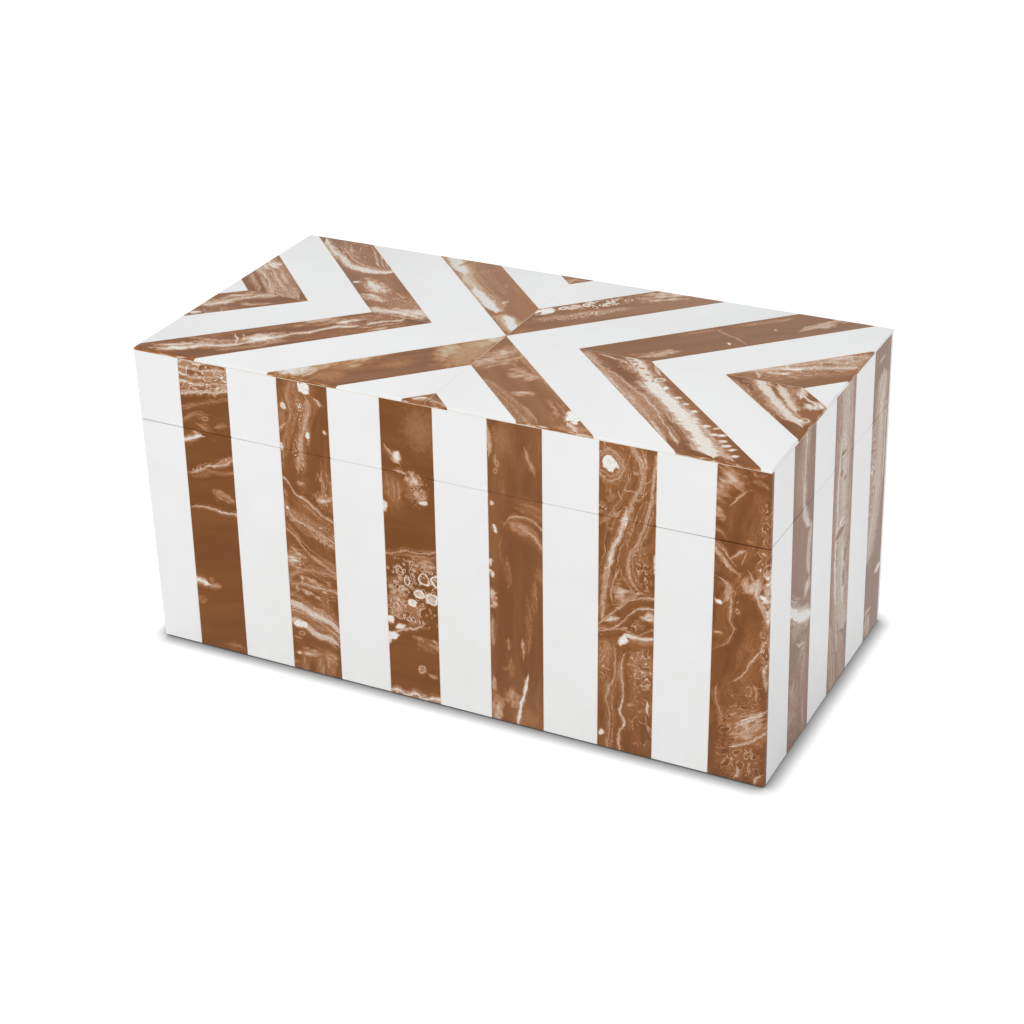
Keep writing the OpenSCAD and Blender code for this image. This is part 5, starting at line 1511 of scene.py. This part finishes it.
steel = brushed("Drawn pin steel", tint(150, 148, 144), tint(188, 186, 182), 0.3, (0.5, 6, 6))
half = HINGE_L / 2
for side, x in HINGES.items():
    domes = [(r, z - half) for r, z in PIN_DOME], [(r, half - z) for r, z in reversed(PIN_DOME)]
    pin = turned_part(domes[0] + domes[1], 40)
    pin_at = Matrix.Translation((x, BOX_D / 2 + PIN_BEHIND, SEAM_Z)) @ Matrix.Rotation(math.pi / 2, 4, "Y")
    bmesh.ops.transform(pin, matrix=pin_at, verts=pin.verts)
    mesh_piece(f"hinge_{side}_steel_pin", pin, steel, "base", [f"hinge_{side}_pin"])

# ---- Hinge screws ---------------------------------------------------------------------------------
# Six slotted brass wood screws a body, three through each leaf, their countersunk heads flush with it
# and their threaded shanks in the fibreboard.

HEAD_R, SCREW_R, SCREW_L, LEAF_SCREWS = 1.88, 0.98, 9.0, 3
SHANK_TOP, THREAD_PITCH, THREAD_DEEP, TIP_L = -1.9, 0.52, 0.28, 2.2
SLOT_W, SLOT_DEEP = 0.5, 0.5
MOST_TURN = 1.4  # of a screw's slot from straight across the leaf, in radians


def screw_row_tree():
    """Geometry Nodes that set a screw at every place in two leaves, each turned as it happened to stop."""
    tree, given = new_tree("Screws in two leaves", "GeometryNodeTree", {"Geometry": "Geometry"}, {
        "Screw": "Object", "Screws": "Int", "Seed": "Int",
        **dict.fromkeys(("Spacing", "Leaf apart", "Set back", "Level"), "Float"), "Finish": "Material"})
    screws = given["Screws"]
    points = out(tree, "GeometryNodePoints", {"Count": screws * 2.0})
    number = out(tree, "GeometryNodeInputIndex")
    leaf = math.floor(number / screws)
    along = number - leaf * screws - (screws - 1.0) / 2.0
    x = scaled(along, given["Spacing"], (leaf - 0.5) * given["Leaf apart"])
    placed = out(tree, "GeometryNodeSetPosition", {
        "Geometry": points, "Position": joined(x, given["Set back"], given["Level"])})
    turn = out(tree, "FunctionNodeRandomValue", {"Seed": given["Seed"], 2: -MOST_TURN, 3: MOST_TURN}, 1,
               data_type="FLOAT")
    screw = out(tree, "GeometryNodeObjectInfo", {"Object": given["Screw"]}, "Geometry")
    laid = out(tree, "GeometryNodeInstanceOnPoints", {
        "Points": placed, "Instance": screw, "Rotation": joined(0, 0, turn)})
    real = out(tree, "GeometryNodeRealizeInstances", {0: laid})
    return ended(tree, out(tree, "GeometryNodeSetMaterial", {"Geometry": real, "Material": given["Finish"]}))


profile = [(0, 0), (HEAD_R - 0.08, 0), (HEAD_R, -0.05), (SCREW_R, SCREW_R - HEAD_R - 0.02),
           (SCREW_R, SHANK_TOP)]
root = SCREW_R - THREAD_DEEP
z = SHANK_TOP
while z > TIP_L - SCREW_L:
    profile += [(root, z - 0.18), (root, z - 0.34), (SCREW_R, z - THREAD_PITCH)]
    z -= THREAD_PITCH
profile += [(SCREW_R - 0.3, z - 0.2), (0.3, 0.4 - SCREW_L), (0, -SCREW_L)]
slot = bmesh.new()
block(slot, (-HEAD_R - 1, -SLOT_W / 2, -SLOT_DEEP), (HEAD_R + 1, SLOT_W / 2, SLOT_DEEP))
screw = bpy.data.objects.new("screw", cut_out(as_mesh(turned_part(profile, 24)), as_mesh(slot)))
screw_brass = brushed("Bright screw brass", tint(190, 150, 84), tint(222, 186, 118), 0.24, (3, 3, 3))
screw_rows = screw_row_tree()
for tier, level, flip in (("base", BASE_TOP, 1), ("lid", -LID_LOW, -1)):
    shape = as_shape(made_by(screw_rows, {
        "Screw": screw, "Screws": LEAF_SCREWS, "Seed": 3 + flip, "Spacing": HINGE_L / LEAF_SCREWS,
        "Leaf apart": 2 * HINGE_X, "Set back": SCREW_Y, "Level": level, "Finish": screw_brass}))
    bmesh.ops.scale(shape, vec=(1, 1, flip), verts=shape.verts)
    mesh_piece(f"hinge_{tier}_brass_screws", shape, screw_brass, tier,
               [f"hinge_{tier}_screws"], smooth=METAL_SMOOTH)
bpy.data.objects.remove(screw)

# ---- Floor, lamps and camera ----------------------------------------------------------------------
# A pale floor under soft even light, seen from a little above the front right corner.

CAMERA_AT = Vector((418.19, -804.37, 546.68)) * MM
YAW, PITCH, ROLL = (math.radians(a) for a in (-27.5839, -26.4925, -1.8159))
FRAME_SIDE, FOCAL, EYE_ROW, SENSOR = 1024, 2206.6, 450, 36  # pixels, and millimetres for the sensor
WHITE = (1, 1, 1, 1)
ahead = Vector((math.sin(YAW) * math.cos(PITCH), math.cos(YAW) * math.cos(PITCH), math.sin(PITCH)))
level = Vector((math.cos(YAW), -math.sin(YAW), 0))
upward = level.cross(ahead)
right_hand = level * math.cos(ROLL) + upward * math.sin(ROLL)
upward = -level * math.sin(ROLL) + upward * math.cos(ROLL)
camera = in_scene("camera", bpy.data.cameras.new("camera"))
camera.data.sensor_width = SENSOR
camera.data.lens = FOCAL * SENSOR / FRAME_SIDE
camera.data.shift_y = (EYE_ROW - FRAME_SIDE / 2) / FRAME_SIDE
camera.data.clip_start, camera.data.clip_end = 0.01, 50
camera.matrix_world = Matrix((right_hand, upward, -ahead)).transposed().to_4x4()
camera.matrix_world.translation = CAMERA_AT
bpy.context.scene.camera = camera

ground = bmesh.new()
bmesh.ops.create_grid(ground, x_segments=1, y_segments=1, size=4)
floor = in_scene("floor", as_mesh(ground))
floor_white = bpy.data.materials.new("Floor")
tree = emptied(floor_white)
ray = put(tree, "ShaderNodeLightPath").outputs
matt = out(tree, "ShaderNodeBsdfDiffuse", {0: tint(246, 246, 246)})
# what glossy rays see of the floor is a glow that is dimmer in front of the box and brighter behind it:
# painted light for the reflections in the box's polished faces
back = split(out(tree, "ShaderNodeTexCoord", wanted="Object"))[1]
glow_seen_in_reflections = out(tree, "ShaderNodeEmission", {0: WHITE, 1: eased(back, -0.16, 0.1, 0.2, 0.8)})
seen = out(tree, "ShaderNodeMixShader", {0: Wire(ray["Is Glossy Ray"]), 1: matt, 2: glow_seen_in_reflections})
# what the camera sees of the floor is a white glow, darkened by ambient occlusion close to the box: a painted
# contact shadow along its bottom edges
clear = out(tree, "ShaderNodeAmbientOcclusion", {"Distance": 0.0085}, "AO", samples=24)
glow_with_painted_shadow = out(tree, "ShaderNodeEmission", {0: WHITE, 1: clear ** 2.2 * 0.96})
faint = out(tree, "ShaderNodeBsdfDiffuse", {0: (0.14, 0.14, 0.14, 1)})
lit = out(tree, "ShaderNodeAddShader", {0: glow_with_painted_shadow, 1: faint})
shown = out(tree, "ShaderNodeMixShader", {0: Wire(ray["Is Camera Ray"]), 1: seen, 2: lit})
put(tree, "ShaderNodeOutputMaterial", {0: shown})
floor.data.materials.append(floor_white)

world = bpy.data.worlds.new("Studio")
bpy.context.scene.world = world
tree = emptied(world)
ray = put(tree, "ShaderNodeLightPath").outputs
plain = most(Wire(ray["Is Camera Ray"]), Wire(ray["Is Transmission Ray"]))
dim = scaled(Wire(ray["Is Glossy Ray"]), -0.17, 0.62)
sky = blend(plain, (0.97, 0.985, 1.0, 1), WHITE)
light = out(tree, "ShaderNodeBackground", {0: sky, 1: mixed(plain, dim, 1.0)})
put(tree, "ShaderNodeOutputWorld", {0: light})

LAMPS_AIM = Vector((0, 0, 0.08))
for name, at, size, power in (("key", (-0.9, -2.2, 1.9), 1.6, 30.5), ("fill", (2.2, -0.6, 1.6), 1.6, 12.5),
                              ("back", (-1.0, 2.0, 2.0), 1.8, 21.0)):
    lamp = in_scene(name, bpy.data.lights.new(name, "AREA"))
    lamp.data.shape, lamp.data.size, lamp.data.energy = "DISK", size, power
    lamp.location = at
    lamp.rotation_mode = "QUATERNION"
    lamp.rotation_quaternion = (LAMPS_AIM - Vector(at)).to_track_quat("-Z", "Y")
    lamp.visible_glossy = False

bpy.context.scene.view_settings.view_transform = "Standard"
